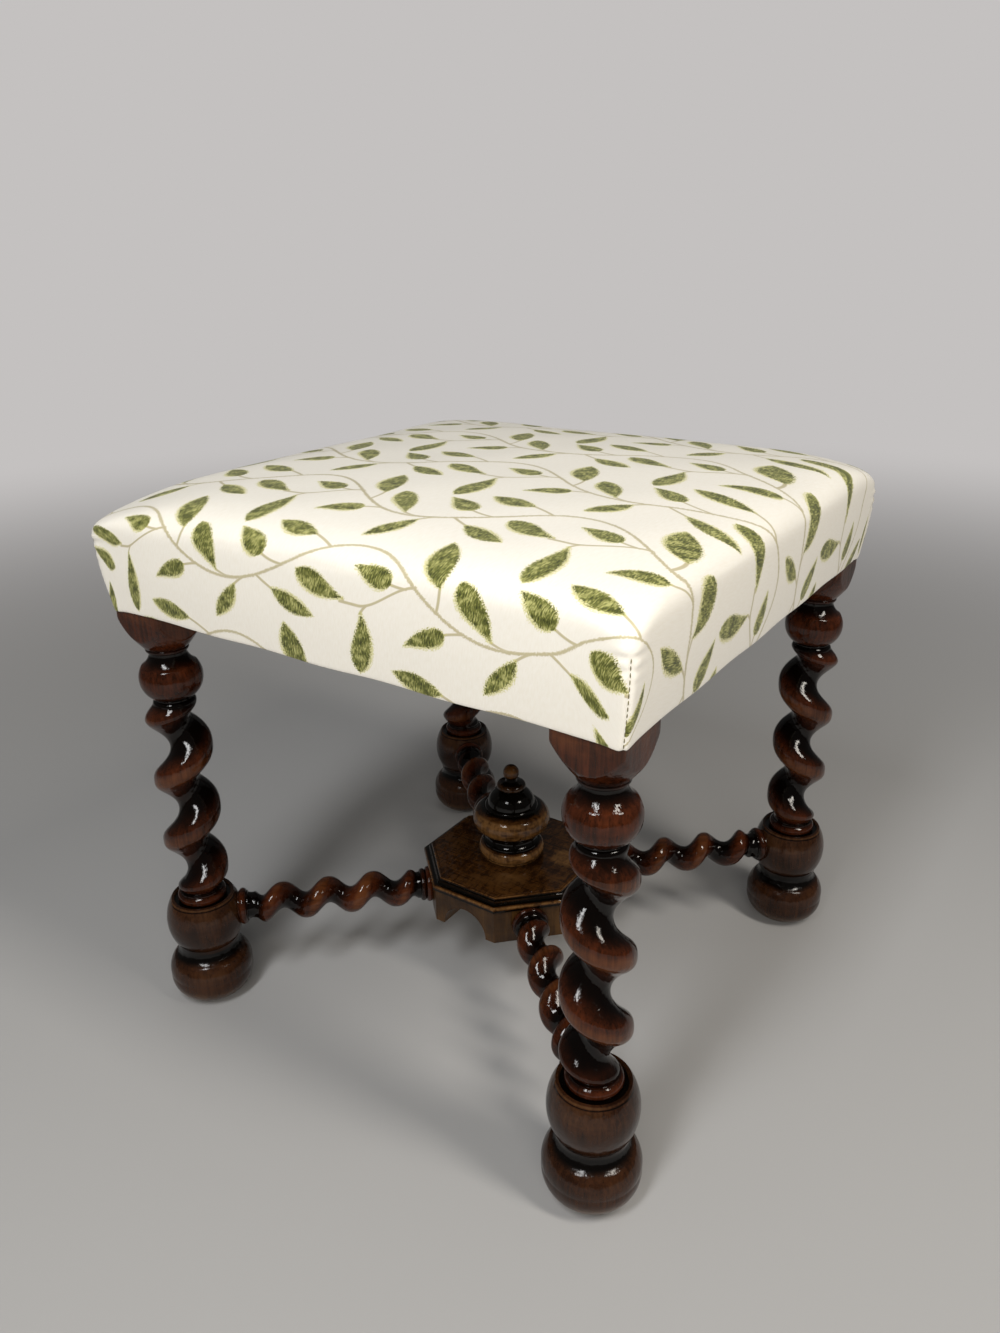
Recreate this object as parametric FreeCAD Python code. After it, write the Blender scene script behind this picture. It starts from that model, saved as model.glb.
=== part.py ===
import FreeCAD, Part
import math
import os

Vector = FreeCAD.Vector
UP = Vector(0, 0, 1)

# Barley twist stool: four twisted legs on ball feet, a twisted cross stretcher with an
# octagonal platform and finial, and a square stuffed-over seat.
# Millimetres. +Z is up, the front is -Y, the origin is on the floor under the seat's middle.

# Legs
LEG_SPACING = 441.0            # between leg axes, in X and in Y
BLOCK_SIZE = 55.5              # square block at the top of each leg
BLOCK_EASE = 3.0               # rounding of the block's upright corners
BLOCK_TOP = 465.0
CUP_BOTTOM = 375.0             # where the block's turned cup meets the neck
NECK_RADIUS = 16.5
LEG_BALL_RADIUS = 28.0
LEG_BALL_Z = 345.0
TWIST_TOP = 320.0
TWIST_BOTTOM = 122.0
TWIST_RADIUS = 19.2            # the round strand
TWIST_THROW = 9.2              # how far the strand stands off the leg's axis
TWIST_PITCH = 65.0
TWIST_PHASE_Z = 295.0          # height where the front right leg's strand points along the angle below
TWIST_PHASE_ANGLE = 19.0
RUN_OUT = 17.0                 # length over which the twist starts and ends
TWIST_FULLNESS = 2.6           # extra radius on the strand's flanks, which narrows the groove
TWIST_SHOULDER = 0.2           # step from a turned end down to the strand
RING_RADIUS = 23.2
FOOT_DISH_RADIUS = 26.3        # sunk top of the foot, round the ring
FOOT_SEAT = 109.5              # where the column's ring sits in the foot
LEG_TENON_RADIUS = 12.0
LEG_TENON_LENGTH = 42.0

# Feet
FOOT_RIM = 112.0
FOOT_RIM_RADIUS = 30.6
FOOT_BALL_RADIUS = 36.8
FOOT_BALL_Z = 88.0
FOOT_NECK_RADIUS = 27.0
FOOT_NECK_Z = 59.0
BUN_RADIUS = 40.0
BUN_Z = 27.0
FOOT_FLAT_RADIUS = 21.0

# Stretcher arms, platform and finial
ARM_Z = 91.0
ARM_TWIST_RADIUS = 13.2
ARM_TWIST_THROW = 6.2
ARM_TWIST_PITCH = 45.4
ARM_TWIST_FULLNESS = 1.4
ARM_RUN_OUT = 11.0
ARM_INNER_RINGS = 15.0         # length of the turned rings at the platform end
ARM_OUTER_RINGS = 17.0         # and at the foot end
ARM_COLLAR_RADIUS = 18.0
ARM_TENON_RADIUS = 7.5
ARM_TENON_LENGTH = 18.0
ARM_SEAT_DEPTH = 4.0           # flat seat cut into the ball
ARM_SEAT_RADIUS = 15.0
BLOCK_APOTHEM = 85.0
BLOCK_BOTTOM = 71.5
BOARD_BOTTOM = 107.0
BOARD_TOP = 119.5
BOARD_EDGE = 6.5               # height of the rounded edge
BOARD_STEP = 3.2               # width and height of the flat between edge and field
BOARD_APOTHEM = 87.3
FIELD_APOTHEM = 78.2
ARCH_RADIUS = 25.0
FINIAL_TOP = 219.7
SPIGOT_RADIUS = 9.0
SPIGOT_LENGTH = 18.0

# Seat
RAIL_THICK = 25.0
RAIL_BOTTOM = 413.2
RAIL_TENON = (30.0, 10.0, 38.0)     # length, thickness, height
COVER_THICK = 1.2
SEAT_HALF = 256.5              # half-width where the covered seat is widest
SEAT_WIDEST_Z = 476.0
HEM_HALF = 249.6               # half-width at the hem
EDGE_RISE = 40.0               # from the widest level up over the rounded edge
CROWN = 9.0                    # further rise to the middle
HEM_CORNER = 4.0               # corner radius in plan, at the hem
SEAT_CORNER = 9.0              # and at the widest level
CORNER_EASE = 15.0             # how fast the corners round off above the widest level
HEM = 14.0                     # cover turned under the rails
STUFFING_START = 426.0         # lower edge of the stuffing on the rails' outer faces
WEB_WIDTH = 50.0
WEB_THICK = 1.5
WEB_PITCH = 105.0
WEB_FOLD = 20.0
WEB_INSET = 3.0                # from the frame's outer face to the fold
WEB_RAMP = 8.0                 # length over which a strip climbs to cross another
WEB_TACK_SPACING = 16.0
HESSIAN_THICK = 0.8
HESSIAN_INSET = 2.0
BOTTOM_CLOTH_THICK = 0.8
CORNER_BLOCK = (436.0, 460.0)  # lowest and highest level of the corner blocks
CORNER_BLOCK_REACH = 52.0      # along each rail, past the leg
SCREW_PLACE = 0.6              # share of the reach where the screw passes
SCREW_RADIUS = 2.0
SCREW_HEAD_RADIUS = 4.0
SCREW_HEAD = 2.4
SCREW_LENGTH = 32.0
COUNTERBORE = 14.0
TACK_RADIUS = 0.8
TACK_LENGTH = 11.0
TACK_HEAD_RADIUS = 3.0
TACK_HEAD = 1.0
COVER_TACKS = 9                # along each rail
COVER_TACK_CLEAR = 20.0        # from the leg block to the first tack
CLOTH_TACKS = 8
CLOTH_TACK_CLEAR = 34.0
CLOTH_GAP = 1.0                # bottom cloth's clearance to the hem and the legs

LEG_AT = LEG_SPACING / 2
FRAME_HALF = LEG_AT + BLOCK_SIZE / 2
BLOCK_INSIDE = LEG_AT - BLOCK_SIZE / 2
RAIL_INSIDE = FRAME_HALF - RAIL_THICK
ARM_SEAT_AT = LEG_AT * math.sqrt(2) - FOOT_BALL_RADIUS + ARM_SEAT_DEPTH
CORNERS = {"front_left": (-1, -1), "front_right": (1, -1), "back_left": (-1, 1), "back_right": (1, 1)}
OCTAGON_TURN = 22.5
SECTION_POINTS = 16            # through which each section of a twist is drawn
HEM_BOTTOM = RAIL_BOTTOM - COVER_THICK


def save(shape, node):
    """Write one piece, after checking that it is closed and valid."""
    solids = shape.Solids
    state = "valid" if shape.isValid() and all(s.isClosed() for s in solids) else "INVALID"
    print(f"{node}: {len(solids)} solid(s), {shape.Volume / 1000:.1f} cm3, {state}")
    whole = solids[0] if len(solids) == 1 else Part.makeCompound(solids)
    whole.exportStep(f"parts/{node}.step")


def turned(start, *steps):
    """Solid of revolution about Z. A step is (r, z) for a line, or (r, z, r, z) for an arc by its middle."""
    here = Vector(start[0], 0, start[1])
    edges = [Part.makeLine(Vector(0, 0, start[1]), here)]
    for step in steps:
        end = Vector(step[-2], 0, step[-1])
        if len(step) == 4:
            edges.append(Part.Arc(here, Vector(step[0], 0, step[1]), end).toShape())
        else:
            edges.append(Part.makeLine(here, end))
        here = end
    edges.append(Part.makeLine(here, Vector(0, 0, here.z)))
    edges.append(Part.makeLine(Vector(0, 0, here.z), Vector(0, 0, start[1])))
    return Part.Face(Part.Wire(edges)).revolve(Vector(0, 0, 0), UP, 360)


def twisted(bottom, top, radius, throw, fullness, pitch, run_out, hand, angle_at_bottom):
    """Single twist: a round, full-flanked strand that circles the axis and comes back to it at both ends."""
    steps = math.ceil((top - bottom) / pitch * 14)
    even_steps = [float(k) for k in range(SECTION_POINTS + 1)]
    sections = []
    for i in range(steps + 1):
        z = bottom + (top - bottom) * i / steps
        ease = min(1.0, (z - bottom) / run_out, (top - z) / run_out)
        share = math.sin(ease * math.pi / 2)
        angle = math.radians(angle_at_bottom) + hand * 2 * math.pi * (z - bottom) / pitch
        points = []
        for k in range(SECTION_POINTS):
            around = 2 * math.pi * k / SECTION_POINTS
            full = radius + fullness * share * math.sin(around - angle) ** 2
            points.append(Vector(throw * share * math.cos(angle) + full * math.cos(around),
                                 throw * share * math.sin(angle) + full * math.sin(around), z))
        section = Part.BSplineCurve()
        section.interpolate(Points=points, PeriodicFlag=True, Parameters=even_steps)
        sections.append(Part.Wire(section.toShape()))
    return Part.makeLoft(sections, True)


def box(low, high):
    size = Vector(*high) - Vector(*low)
    return Part.makeBox(size.x, size.y, size.z, Vector(*low))


def fused(pieces):
    return pieces[0].multiFuse(pieces[1:]).removeSplitter()


def top_edges(solid):
    """The level edges round the top of a prism."""
    return [e for e in solid.Edges if e.BoundBox.ZMin > solid.BoundBox.ZMax - 0.01]


def leg_posts(half):
    """Square posts on the four leg axes, for cutting cloth round the legs."""
    return Part.makeCompound([box((sx * LEG_AT - half, sy * LEG_AT - half, 0),
                                  (sx * LEG_AT + half, sy * LEG_AT + half, BLOCK_TOP))
                              for sx, sy in CORNERS.values()])


def octagon(apothem, bottom, top):
    """Octagonal prism with faces square to X, Y and the diagonals."""
    radius = apothem / math.cos(math.radians(OCTAGON_TURN))
    angles = [math.radians(OCTAGON_TURN + 45 * i) for i in range(8)]
    points = [Vector(radius * math.cos(a), radius * math.sin(a), bottom) for a in angles]
    return Part.Face(Part.makePolygon(points + points[:1])).extrude(Vector(0, 0, top - bottom))


def rounded_square(half, corner, z):
    """Closed wire of four lines and four quarter arcs."""
    inner = half - corner
    edges = []
    for i in range(4):
        a = math.radians(90 * i)
        cx, cy = [(inner, inner), (-inner, inner), (-inner, -inner), (inner, -inner)][i]
        spots = [Vector(cx + corner * math.cos(a + t), cy + corner * math.sin(a + t), z)
                 for t in (0, math.pi / 4, math.pi / 2)]
        edges.append(Part.Arc(*spots).toShape())
        ahead = [(-inner, half), (-half, -inner), (inner, -half), (half, inner)][i]
        edges.append(Part.makeLine(spots[2], Vector(ahead[0], ahead[1], z)))
    return Part.Wire(edges)


def seat_levels(start):
    """Height and half-width of the seat's sections: drawn-in sides, rounded edge, crown."""
    levels = []
    for share in (0, 0.25, 0.5, 0.75):
        z = start + share * (SEAT_WIDEST_Z - start)
        swell = math.sin((z - HEM_BOTTOM) / (SEAT_WIDEST_Z - HEM_BOTTOM) * math.pi / 2)
        levels.append((z, HEM_HALF + (SEAT_HALF - HEM_HALF) * swell))
    for u in (1, 0.998, 0.99, 0.975, 0.95, 0.92, 0.88, 0.8, 0.65, 0.45, 0.2):
        rise = EDGE_RISE * (1 - u ** 6.5) ** (1 / 4.5) + CROWN * (1 - u * u)
        levels.append((SEAT_WIDEST_Z + rise, SEAT_HALF * u))
    return levels


def seat_form(inset, start):
    """The seat's form from a start height upward, drawn in by an inset."""
    wires = []
    for z, half in seat_levels(start):
        if z > SEAT_WIDEST_Z:
            corner = min(SEAT_CORNER + CORNER_EASE * math.sqrt(SEAT_HALF - half), 0.7 * half)
            z -= inset
        else:
            climb = (z - HEM_BOTTOM) / (SEAT_WIDEST_Z - HEM_BOTTOM)
            corner = HEM_CORNER + (SEAT_CORNER - HEM_CORNER) * climb
        wires.append(rounded_square(half - inset, corner - inset, z))
    return Part.makeLoft(wires, True, True)


def make_column(hand):
    """Leg column on the Z axis: block with turned cup, neck, ball, twist, ring and tenon."""
    half = BLOCK_SIZE / 2
    corner = half * math.sqrt(2) + 1
    cup = turned((NECK_RADIUS + 1.5, CUP_BOTTOM), (NECK_RADIUS + 3, CUP_BOTTOM),
                 (half + 0.7, CUP_BOTTOM + 11.5, corner, CUP_BOTTOM + 33), (corner, BLOCK_TOP))
    square = Part.Face(rounded_square(half, BLOCK_EASE, CUP_BOTTOM))
    block = cup.common(square.extrude(Vector(0, 0, BLOCK_TOP - CUP_BOTTOM)))
    top = turned((TWIST_RADIUS + TWIST_SHOULDER, TWIST_TOP),
                 (TWIST_RADIUS - 0.4, TWIST_TOP + 2.2, TWIST_RADIUS - 1.8, TWIST_TOP + 4),
                 (NECK_RADIUS, TWIST_TOP + 4.6), (NECK_RADIUS, TWIST_TOP + 5.6),
                 (NECK_RADIUS + 1.7, TWIST_TOP + 6),
                 (LEG_BALL_RADIUS, LEG_BALL_Z - 2.5, NECK_RADIUS + 8, LEG_BALL_Z + 12),
                 (NECK_RADIUS + 2.4, LEG_BALL_Z + 17.5, NECK_RADIUS, LEG_BALL_Z + 23),
                 (NECK_RADIUS, CUP_BOTTOM - 4.5),
                 (NECK_RADIUS + 2.6, CUP_BOTTOM - 2.2, NECK_RADIUS + 1.5, CUP_BOTTOM))
    if hand > 0:
        angle = 180 - TWIST_PHASE_ANGLE
    else:
        angle = TWIST_PHASE_ANGLE
    angle -= hand * 360 * (TWIST_PHASE_Z - TWIST_BOTTOM) / TWIST_PITCH
    strand = twisted(TWIST_BOTTOM, TWIST_TOP, TWIST_RADIUS, TWIST_THROW, TWIST_FULLNESS, TWIST_PITCH,
                     RUN_OUT, hand, angle)
    foot_end = turned((RING_RADIUS - 2.6, FOOT_SEAT),
                      (RING_RADIUS, FOOT_SEAT + 4.4, RING_RADIUS - 2.2, FOOT_SEAT + 8.6),
                      (TWIST_RADIUS + 1, FOOT_SEAT + 9.2), (TWIST_RADIUS + 1, FOOT_SEAT + 10.3),
                      (TWIST_RADIUS + TWIST_SHOULDER, FOOT_SEAT + 10.7),
                      (TWIST_RADIUS + TWIST_SHOULDER, TWIST_BOTTOM))
    tenon_end = Vector(0, 0, FOOT_SEAT - LEG_TENON_LENGTH)
    tenon = Part.makeCylinder(LEG_TENON_RADIUS, LEG_TENON_LENGTH, tenon_end)
    return fused([block, top, strand, foot_end, tenon])


def make_foot():
    """Ball and bun, turned as one piece, with a shallow recess for the column's ring."""
    return turned((FOOT_FLAT_RADIUS, 0), (BUN_RADIUS - 5.0, 8.5, BUN_RADIUS, BUN_Z),
                  (BUN_RADIUS - 1.4, BUN_Z + 12, BUN_RADIUS - 6, BUN_Z + 19),
                  (FOOT_NECK_RADIUS + 1, FOOT_NECK_Z - 7, FOOT_NECK_RADIUS, FOOT_NECK_Z),
                  (FOOT_NECK_RADIUS + 3, FOOT_NECK_Z + 0.5), (FOOT_NECK_RADIUS + 3, FOOT_NECK_Z + 3.5),
                  (FOOT_BALL_RADIUS, FOOT_BALL_Z, FOOT_RIM_RADIUS, FOOT_RIM - 1.5),
                  (FOOT_RIM_RADIUS - 1, FOOT_RIM), (FOOT_DISH_RADIUS + 1.1, FOOT_RIM),
                  (FOOT_DISH_RADIUS, FOOT_SEAT))


def make_arm(hand, start_angle):
    """Stretcher arm on the +X axis at Z = 0, from the platform block's face to the ball's seat."""
    start = BLOCK_APOTHEM
    end = ARM_SEAT_AT
    r = ARM_TWIST_RADIUS
    collar = ARM_COLLAR_RADIUS
    reel = ARM_SEAT_RADIUS - 1
    twist_from = start + ARM_INNER_RINGS
    twist_to = end - ARM_OUTER_RINGS
    inner = turned((reel, start), (collar, start + 3, reel, start + 6),
                   (collar - 1.5, start + 9, r + 0.6, start + 12), (r + TWIST_SHOULDER, twist_from))
    outer = turned((r + TWIST_SHOULDER, twist_to), (r - 0.4, twist_to + 4, r + 0.4, end - 10),
                   (r + 2, end - 9.6), (r + 2, end - 8.6), (collar, end - 5, ARM_SEAT_RADIUS, end - 1),
                   (ARM_SEAT_RADIUS, end))
    strand = twisted(twist_from, twist_to, r, ARM_TWIST_THROW, ARM_TWIST_FULLNESS, ARM_TWIST_PITCH,
                     ARM_RUN_OUT, hand, start_angle)
    tenons = [Part.makeCylinder(ARM_TENON_RADIUS, ARM_TENON_LENGTH, Vector(0, 0, z))
              for z in (start - ARM_TENON_LENGTH, end)]
    arm = fused([inner, strand, outer] + tenons)
    arm.rotate(Vector(0, 0, 0), Vector(0, 1, 0), 90)
    return arm


def make_board():
    """Octagonal platform board: ovolo edge, flat, and a raised field."""
    edge_top = BOARD_BOTTOM + BOARD_EDGE
    step_top = edge_top + BOARD_STEP
    edge = octagon(BOARD_APOTHEM, BOARD_BOTTOM, edge_top)
    edge = edge.makeFillet(3.4, top_edges(edge))
    step = octagon(FIELD_APOTHEM + BOARD_STEP, edge_top, step_top)
    field = octagon(FIELD_APOTHEM, step_top, BOARD_TOP)
    field = field.makeFillet(1.6, top_edges(field))
    return fused([edge, step, field])


def make_finial():
    """Turned finial with a spigot, standing on the board."""
    z = BOARD_TOP
    body = turned((30.5, z), (31, z + 2), (33.6, z + 8, 29.5, z + 14), (28, z + 14.3),
                  (29.2, z + 15.5, 27.4, z + 16.7), (24.8, z + 21.5, 28.5, z + 28.5),
                  (39, z + 43, 27, z + 55.2), (26.2, z + 56.8, 24, z + 58.2),
                  (21.3, z + 66.5, 12.5, z + 73.5), (14.8, z + 77.5, 11.5, z + 81),
                  (6.2, z + 82.5), (5.4, z + 85.2), (8.1, z + 92.3, 0.4, FINIAL_TOP))
    return fused([body, Part.makeCylinder(SPIGOT_RADIUS, SPIGOT_LENGTH, Vector(0, 0, z - SPIGOT_LENGTH))])


def make_rail():
    """Front rail with a tenon at each end."""
    length, thick, height = RAIL_TENON
    middle = FRAME_HALF - RAIL_THICK / 2
    low = (RAIL_BOTTOM + BLOCK_TOP - height) / 2
    rail = box((-BLOCK_INSIDE, -FRAME_HALF, RAIL_BOTTOM), (BLOCK_INSIDE, -RAIL_INSIDE, BLOCK_TOP))
    reach = BLOCK_INSIDE + length
    tenon = box((-reach, -middle - thick / 2, low), (reach, -middle + thick / 2, low + height))
    return fused([rail, tenon])


def make_corner_block():
    """Notched triangular block in the front right corner."""
    far = BLOCK_INSIDE - CORNER_BLOCK_REACH
    low, high = CORNER_BLOCK
    outline = [(RAIL_INSIDE, -BLOCK_INSIDE), (RAIL_INSIDE, -far), (far, -RAIL_INSIDE),
               (BLOCK_INSIDE, -RAIL_INSIDE), (BLOCK_INSIDE, -BLOCK_INSIDE)]
    points = [Vector(x, y, low) for x, y in outline]
    return Part.Face(Part.makePolygon(points + points[:1])).extrude(Vector(0, 0, high - low))


def make_corner_screws():
    """Two screws through the front right corner block, one into each rail, and their counterbores."""
    past = SCREW_PLACE * CORNER_BLOCK_REACH
    along = BLOCK_INSIDE - CORNER_BLOCK_REACH + past
    level = sum(CORNER_BLOCK) / 2
    seat = RAIL_INSIDE - past + SCREW_HEAD_RADIUS + 1
    screws = []
    bores = []
    for start, way in ((Vector(seat, -along, level), Vector(1, 0, 0)),
                       (Vector(along, -seat, level), Vector(0, -1, 0))):
        shank = Part.makeCylinder(SCREW_RADIUS, SCREW_LENGTH, start, way)
        head = Part.makeCone(SCREW_HEAD_RADIUS, SCREW_RADIUS, SCREW_HEAD, start, way)
        screws.append(fused([shank, head]))
        bores.append(Part.makeCylinder(SCREW_HEAD_RADIUS, COUNTERBORE, start - way * COUNTERBORE, way))
    return screws, bores


def make_web(over_first):
    """Webbing strip along X, its ends folded back on the rails, lifted over every second crossing."""
    rise = WEB_THICK + 0.1
    half = WEB_WIDTH / 2
    flat = half + 1
    end = FRAME_HALF - WEB_INSET
    lifts = [i for i in (-1, 0, 1) if (i == 0) != over_first]
    lower = [(-end, 0)]
    for i in lifts:
        x = i * WEB_PITCH
        lower += [(x - flat - WEB_RAMP, 0), (x - flat, rise), (x + flat, rise), (x + flat + WEB_RAMP, 0)]
    lower.append((end, 0))
    upper = [(x, z + WEB_THICK) for x, z in reversed(lower)]
    points = [Vector(x, -half, BLOCK_TOP + z) for x, z in lower + upper]
    strip = Part.Face(Part.makePolygon(points + points[:1])).extrude(Vector(0, WEB_WIDTH, 0))
    folds = [box((x, -half, BLOCK_TOP + WEB_THICK), (x + WEB_FOLD, half, BLOCK_TOP + 2 * WEB_THICK))
             for x in (-end, end - WEB_FOLD)]
    return fused([strip] + folds)


def make_tack(at, way):
    """Tack with its head's underside at a point, driven along a direction."""
    head = Part.makeCone(TACK_HEAD_RADIUS, TACK_HEAD_RADIUS * 0.75, TACK_HEAD, at, way * -1)
    shank = Part.makeCylinder(TACK_RADIUS, TACK_LENGTH, at, way)
    return fused([head, shank])


def row_of_tacks(inset, level, way, count, reach):
    """Tacks in a row along each of the four rails, at an inset from the frame's outer face."""
    rows = []
    for side in range(4):
        for i in range(count):
            x = -reach + 2 * reach * i / (count - 1)
            tack = make_tack(Vector(x, -(FRAME_HALF - inset), level), way)
            tack.rotate(Vector(0, 0, 0), UP, 90 * side)
            rows.append(tack)
    return rows


def turn(shape, angle):
    """A copy turned about the stool's middle axis."""
    copy = shape.copy()
    copy.rotate(Vector(0, 0, 0), UP, angle)
    return copy


def main():
    os.makedirs("parts", exist_ok=True)
    sides = {"rail_front": 0, "rail_right": 90, "rail_back": 180, "rail_left": 270}
    rails = {name: turn(make_rail(), angle) for name, angle in sides.items()}

    # Legs: right-handed twists on the left, left-handed on the right, back legs turned a quarter
    columns = {-1: make_column(1), 1: make_column(-1)}
    for corner, (sx, sy) in CORNERS.items():
        leg = turn(columns[sx], 90 * sx if sy > 0 else 0)
        leg.translate(Vector(sx * LEG_AT, sy * LEG_AT, 0))
        for rail in rails.values():
            if leg.BoundBox.intersect(rail.BoundBox):
                leg = leg.cut(rail)
        save(leg, f"leg_{corner}")

    # Stretcher arms, each diagonal with one hand of twist
    diagonals = {"front_left": (225, -1, 204), "back_right": (45, -1, 335),
                 "front_right": (315, 1, 120), "back_left": (135, 1, 250)}
    for corner, (angle, hand, start_angle) in diagonals.items():
        arm = make_arm(hand, start_angle)
        arm.translate(Vector(0, 0, ARM_Z))
        save(turn(arm, angle), f"stretcher_{corner}")

    # Feet, with a socket for the column and a seated mortise for the arm
    for corner, (sx, sy) in CORNERS.items():
        foot = make_foot()
        foot.translate(Vector(sx * LEG_AT, sy * LEG_AT, 0))
        outward = Vector(sx, sy, 0).normalize()
        socket = Part.makeCylinder(LEG_TENON_RADIUS, LEG_TENON_LENGTH,
                                   Vector(sx * LEG_AT, sy * LEG_AT, FOOT_SEAT - LEG_TENON_LENGTH))
        seat_at = outward * ARM_SEAT_AT + UP * ARM_Z
        seat_start = seat_at - outward * ARM_SEAT_RADIUS
        seat = Part.makeCylinder(ARM_SEAT_RADIUS, ARM_SEAT_RADIUS, seat_start, outward)
        mortise = Part.makeCylinder(ARM_TENON_RADIUS, ARM_TENON_LENGTH, seat_at, outward)
        save(foot.cut(socket).cut(seat).cut(mortise), f"foot_{corner}")

    # Platform: arched block, moulded board and finial
    block = octagon(BLOCK_APOTHEM, BLOCK_BOTTOM, BOARD_BOTTOM)
    for way in (Vector(1, 0, 0), Vector(0, 1, 0)):
        tunnel_start = way * (-2 * BLOCK_APOTHEM) + UP * BLOCK_BOTTOM
        block = block.cut(Part.makeCylinder(ARCH_RADIUS, 4 * BLOCK_APOTHEM, tunnel_start, way))
    for sx, sy in CORNERS.values():
        outward = Vector(sx, sy, 0).normalize()
        mortise_at = outward * (BLOCK_APOTHEM - ARM_TENON_LENGTH) + UP * ARM_Z
        block = block.cut(Part.makeCylinder(ARM_TENON_RADIUS, ARM_TENON_LENGTH, mortise_at, outward))
    spigot = Part.makeCylinder(SPIGOT_RADIUS, SPIGOT_LENGTH, Vector(0, 0, BOARD_TOP - SPIGOT_LENGTH))
    save(block.cut(spigot), "platform_block")
    save(make_board().cut(spigot), "platform_top")
    save(make_finial(), "finial")

    # Corner blocks and their screws
    screws, bores = make_corner_screws()
    all_screws = []
    for corner, angle in {"front_right": 0, "back_right": 90, "back_left": 180, "front_left": 270}.items():
        turned_screws = [turn(s, angle) for s in screws]
        brace = turn(make_corner_block(), angle)
        for tool in turned_screws + [turn(b, angle) for b in bores]:
            brace = brace.cut(tool)
        save(brace, f"corner_block_{corner}")
        all_screws += turned_screws
    save(Part.makeCompound(all_screws), "corner_block_screws")

    # Webbing, interlaced three by three
    webs = {}
    web_tacks = []
    across = {"webbing_front": (-1, False), "webbing_middle": (0, True), "webbing_back": (1, False)}
    along = {"webbing_left": (-1, True), "webbing_centre": (0, False), "webbing_right": (1, True)}
    for name, (place, over) in across.items():
        webs[name] = make_web(over)
        webs[name].translate(Vector(0, place * WEB_PITCH, 0))
    for name, (place, over) in along.items():
        webs[name] = turn(make_web(over), 90)
        webs[name].translate(Vector(place * WEB_PITCH, 0, 0))
    fold_top = BLOCK_TOP + 2 * WEB_THICK
    fold_middle = WEB_INSET + WEB_FOLD / 2 - FRAME_HALF
    for side in range(4):
        for place in (-1, 0, 1):
            for offset in (-1, 0, 1):
                at = Vector(place * WEB_PITCH + offset * WEB_TACK_SPACING, fold_middle, fold_top)
                web_tacks.append(turn(make_tack(at, UP * -1), 90 * side))
    for name, web in webs.items():
        save(web.cut(Part.makeCompound(web_tacks)), name)
    save(Part.makeCompound(web_tacks), "webbing_tacks")

    # Hessian, stuffing, cover and bottom cloth
    lift = fold_top + TACK_HEAD
    hessian_half = FRAME_HALF - HESSIAN_INSET
    hessian = box((-hessian_half, -hessian_half, lift), (hessian_half, hessian_half, lift + HESSIAN_THICK))
    save(hessian, "hessian_cloth")
    frame_plan = Part.Face(rounded_square(FRAME_HALF, BLOCK_EASE, HEM_BOTTOM))
    stuffing = seat_form(COVER_THICK, STUFFING_START)
    save(stuffing.cut(frame_plan.extrude(Vector(0, 0, lift + HESSIAN_THICK - HEM_BOTTOM))), "seat_padding")

    shell = seat_form(0, HEM_BOTTOM)
    cover = shell.cut(stuffing).cut(frame_plan.extrude(Vector(0, 0, STUFFING_START - HEM_BOTTOM)))
    hem = box((-FRAME_HALF, -FRAME_HALF, HEM_BOTTOM), (FRAME_HALF, FRAME_HALF, RAIL_BOTTOM))
    hem_inside = FRAME_HALF - HEM
    hem = hem.cut(box((-hem_inside, -hem_inside, HEM_BOTTOM), (hem_inside, hem_inside, RAIL_BOTTOM)))
    cover = fused([cover, hem.cut(leg_posts(BLOCK_SIZE / 2))])
    cover_tacks = row_of_tacks(HEM / 2, HEM_BOTTOM, UP, COVER_TACKS, BLOCK_INSIDE - COVER_TACK_CLEAR)
    save(cover.cut(Part.makeCompound(cover_tacks)), "seat_cover")
    save(Part.makeCompound(cover_tacks), "cover_tacks")

    cloth_bottom = RAIL_BOTTOM - BOTTOM_CLOTH_THICK
    cloth_half = FRAME_HALF - HEM - CLOTH_GAP
    cloth = box((-cloth_half, -cloth_half, cloth_bottom), (cloth_half, cloth_half, RAIL_BOTTOM))
    cloth = cloth.cut(leg_posts(BLOCK_SIZE / 2 + CLOTH_GAP))
    cloth_inset = FRAME_HALF - (RAIL_INSIDE + cloth_half) / 2
    cloth_tacks = row_of_tacks(cloth_inset, cloth_bottom, UP, CLOTH_TACKS, BLOCK_INSIDE - CLOTH_TACK_CLEAR)
    save(cloth.cut(Part.makeCompound(cloth_tacks)), "bottom_cloth")
    save(Part.makeCompound(cloth_tacks), "bottom_cloth_tacks")

    # Rails, bored for the screws and tacks
    for name, rail in rails.items():
        save(rail.cut(Part.makeCompound(all_screws + web_tacks + cover_tacks + cloth_tacks)), name)


main()
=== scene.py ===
# %% [markdown]
# # A barley twist stool
# Four twisted legs stand on turned feet, a twisted cross stretcher carries a small octagonal
# platform with a finial, and a square seat is stuffed over the rails. The imported solids are loaded
# first as a fixed frame. Everything made here sits in that frame, in metres, so nothing has to be
# fitted by eye.

# %% Load the imported model
import bmesh
import bpy
import math
import numpy as np
from mathutils import Matrix, Vector


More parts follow.
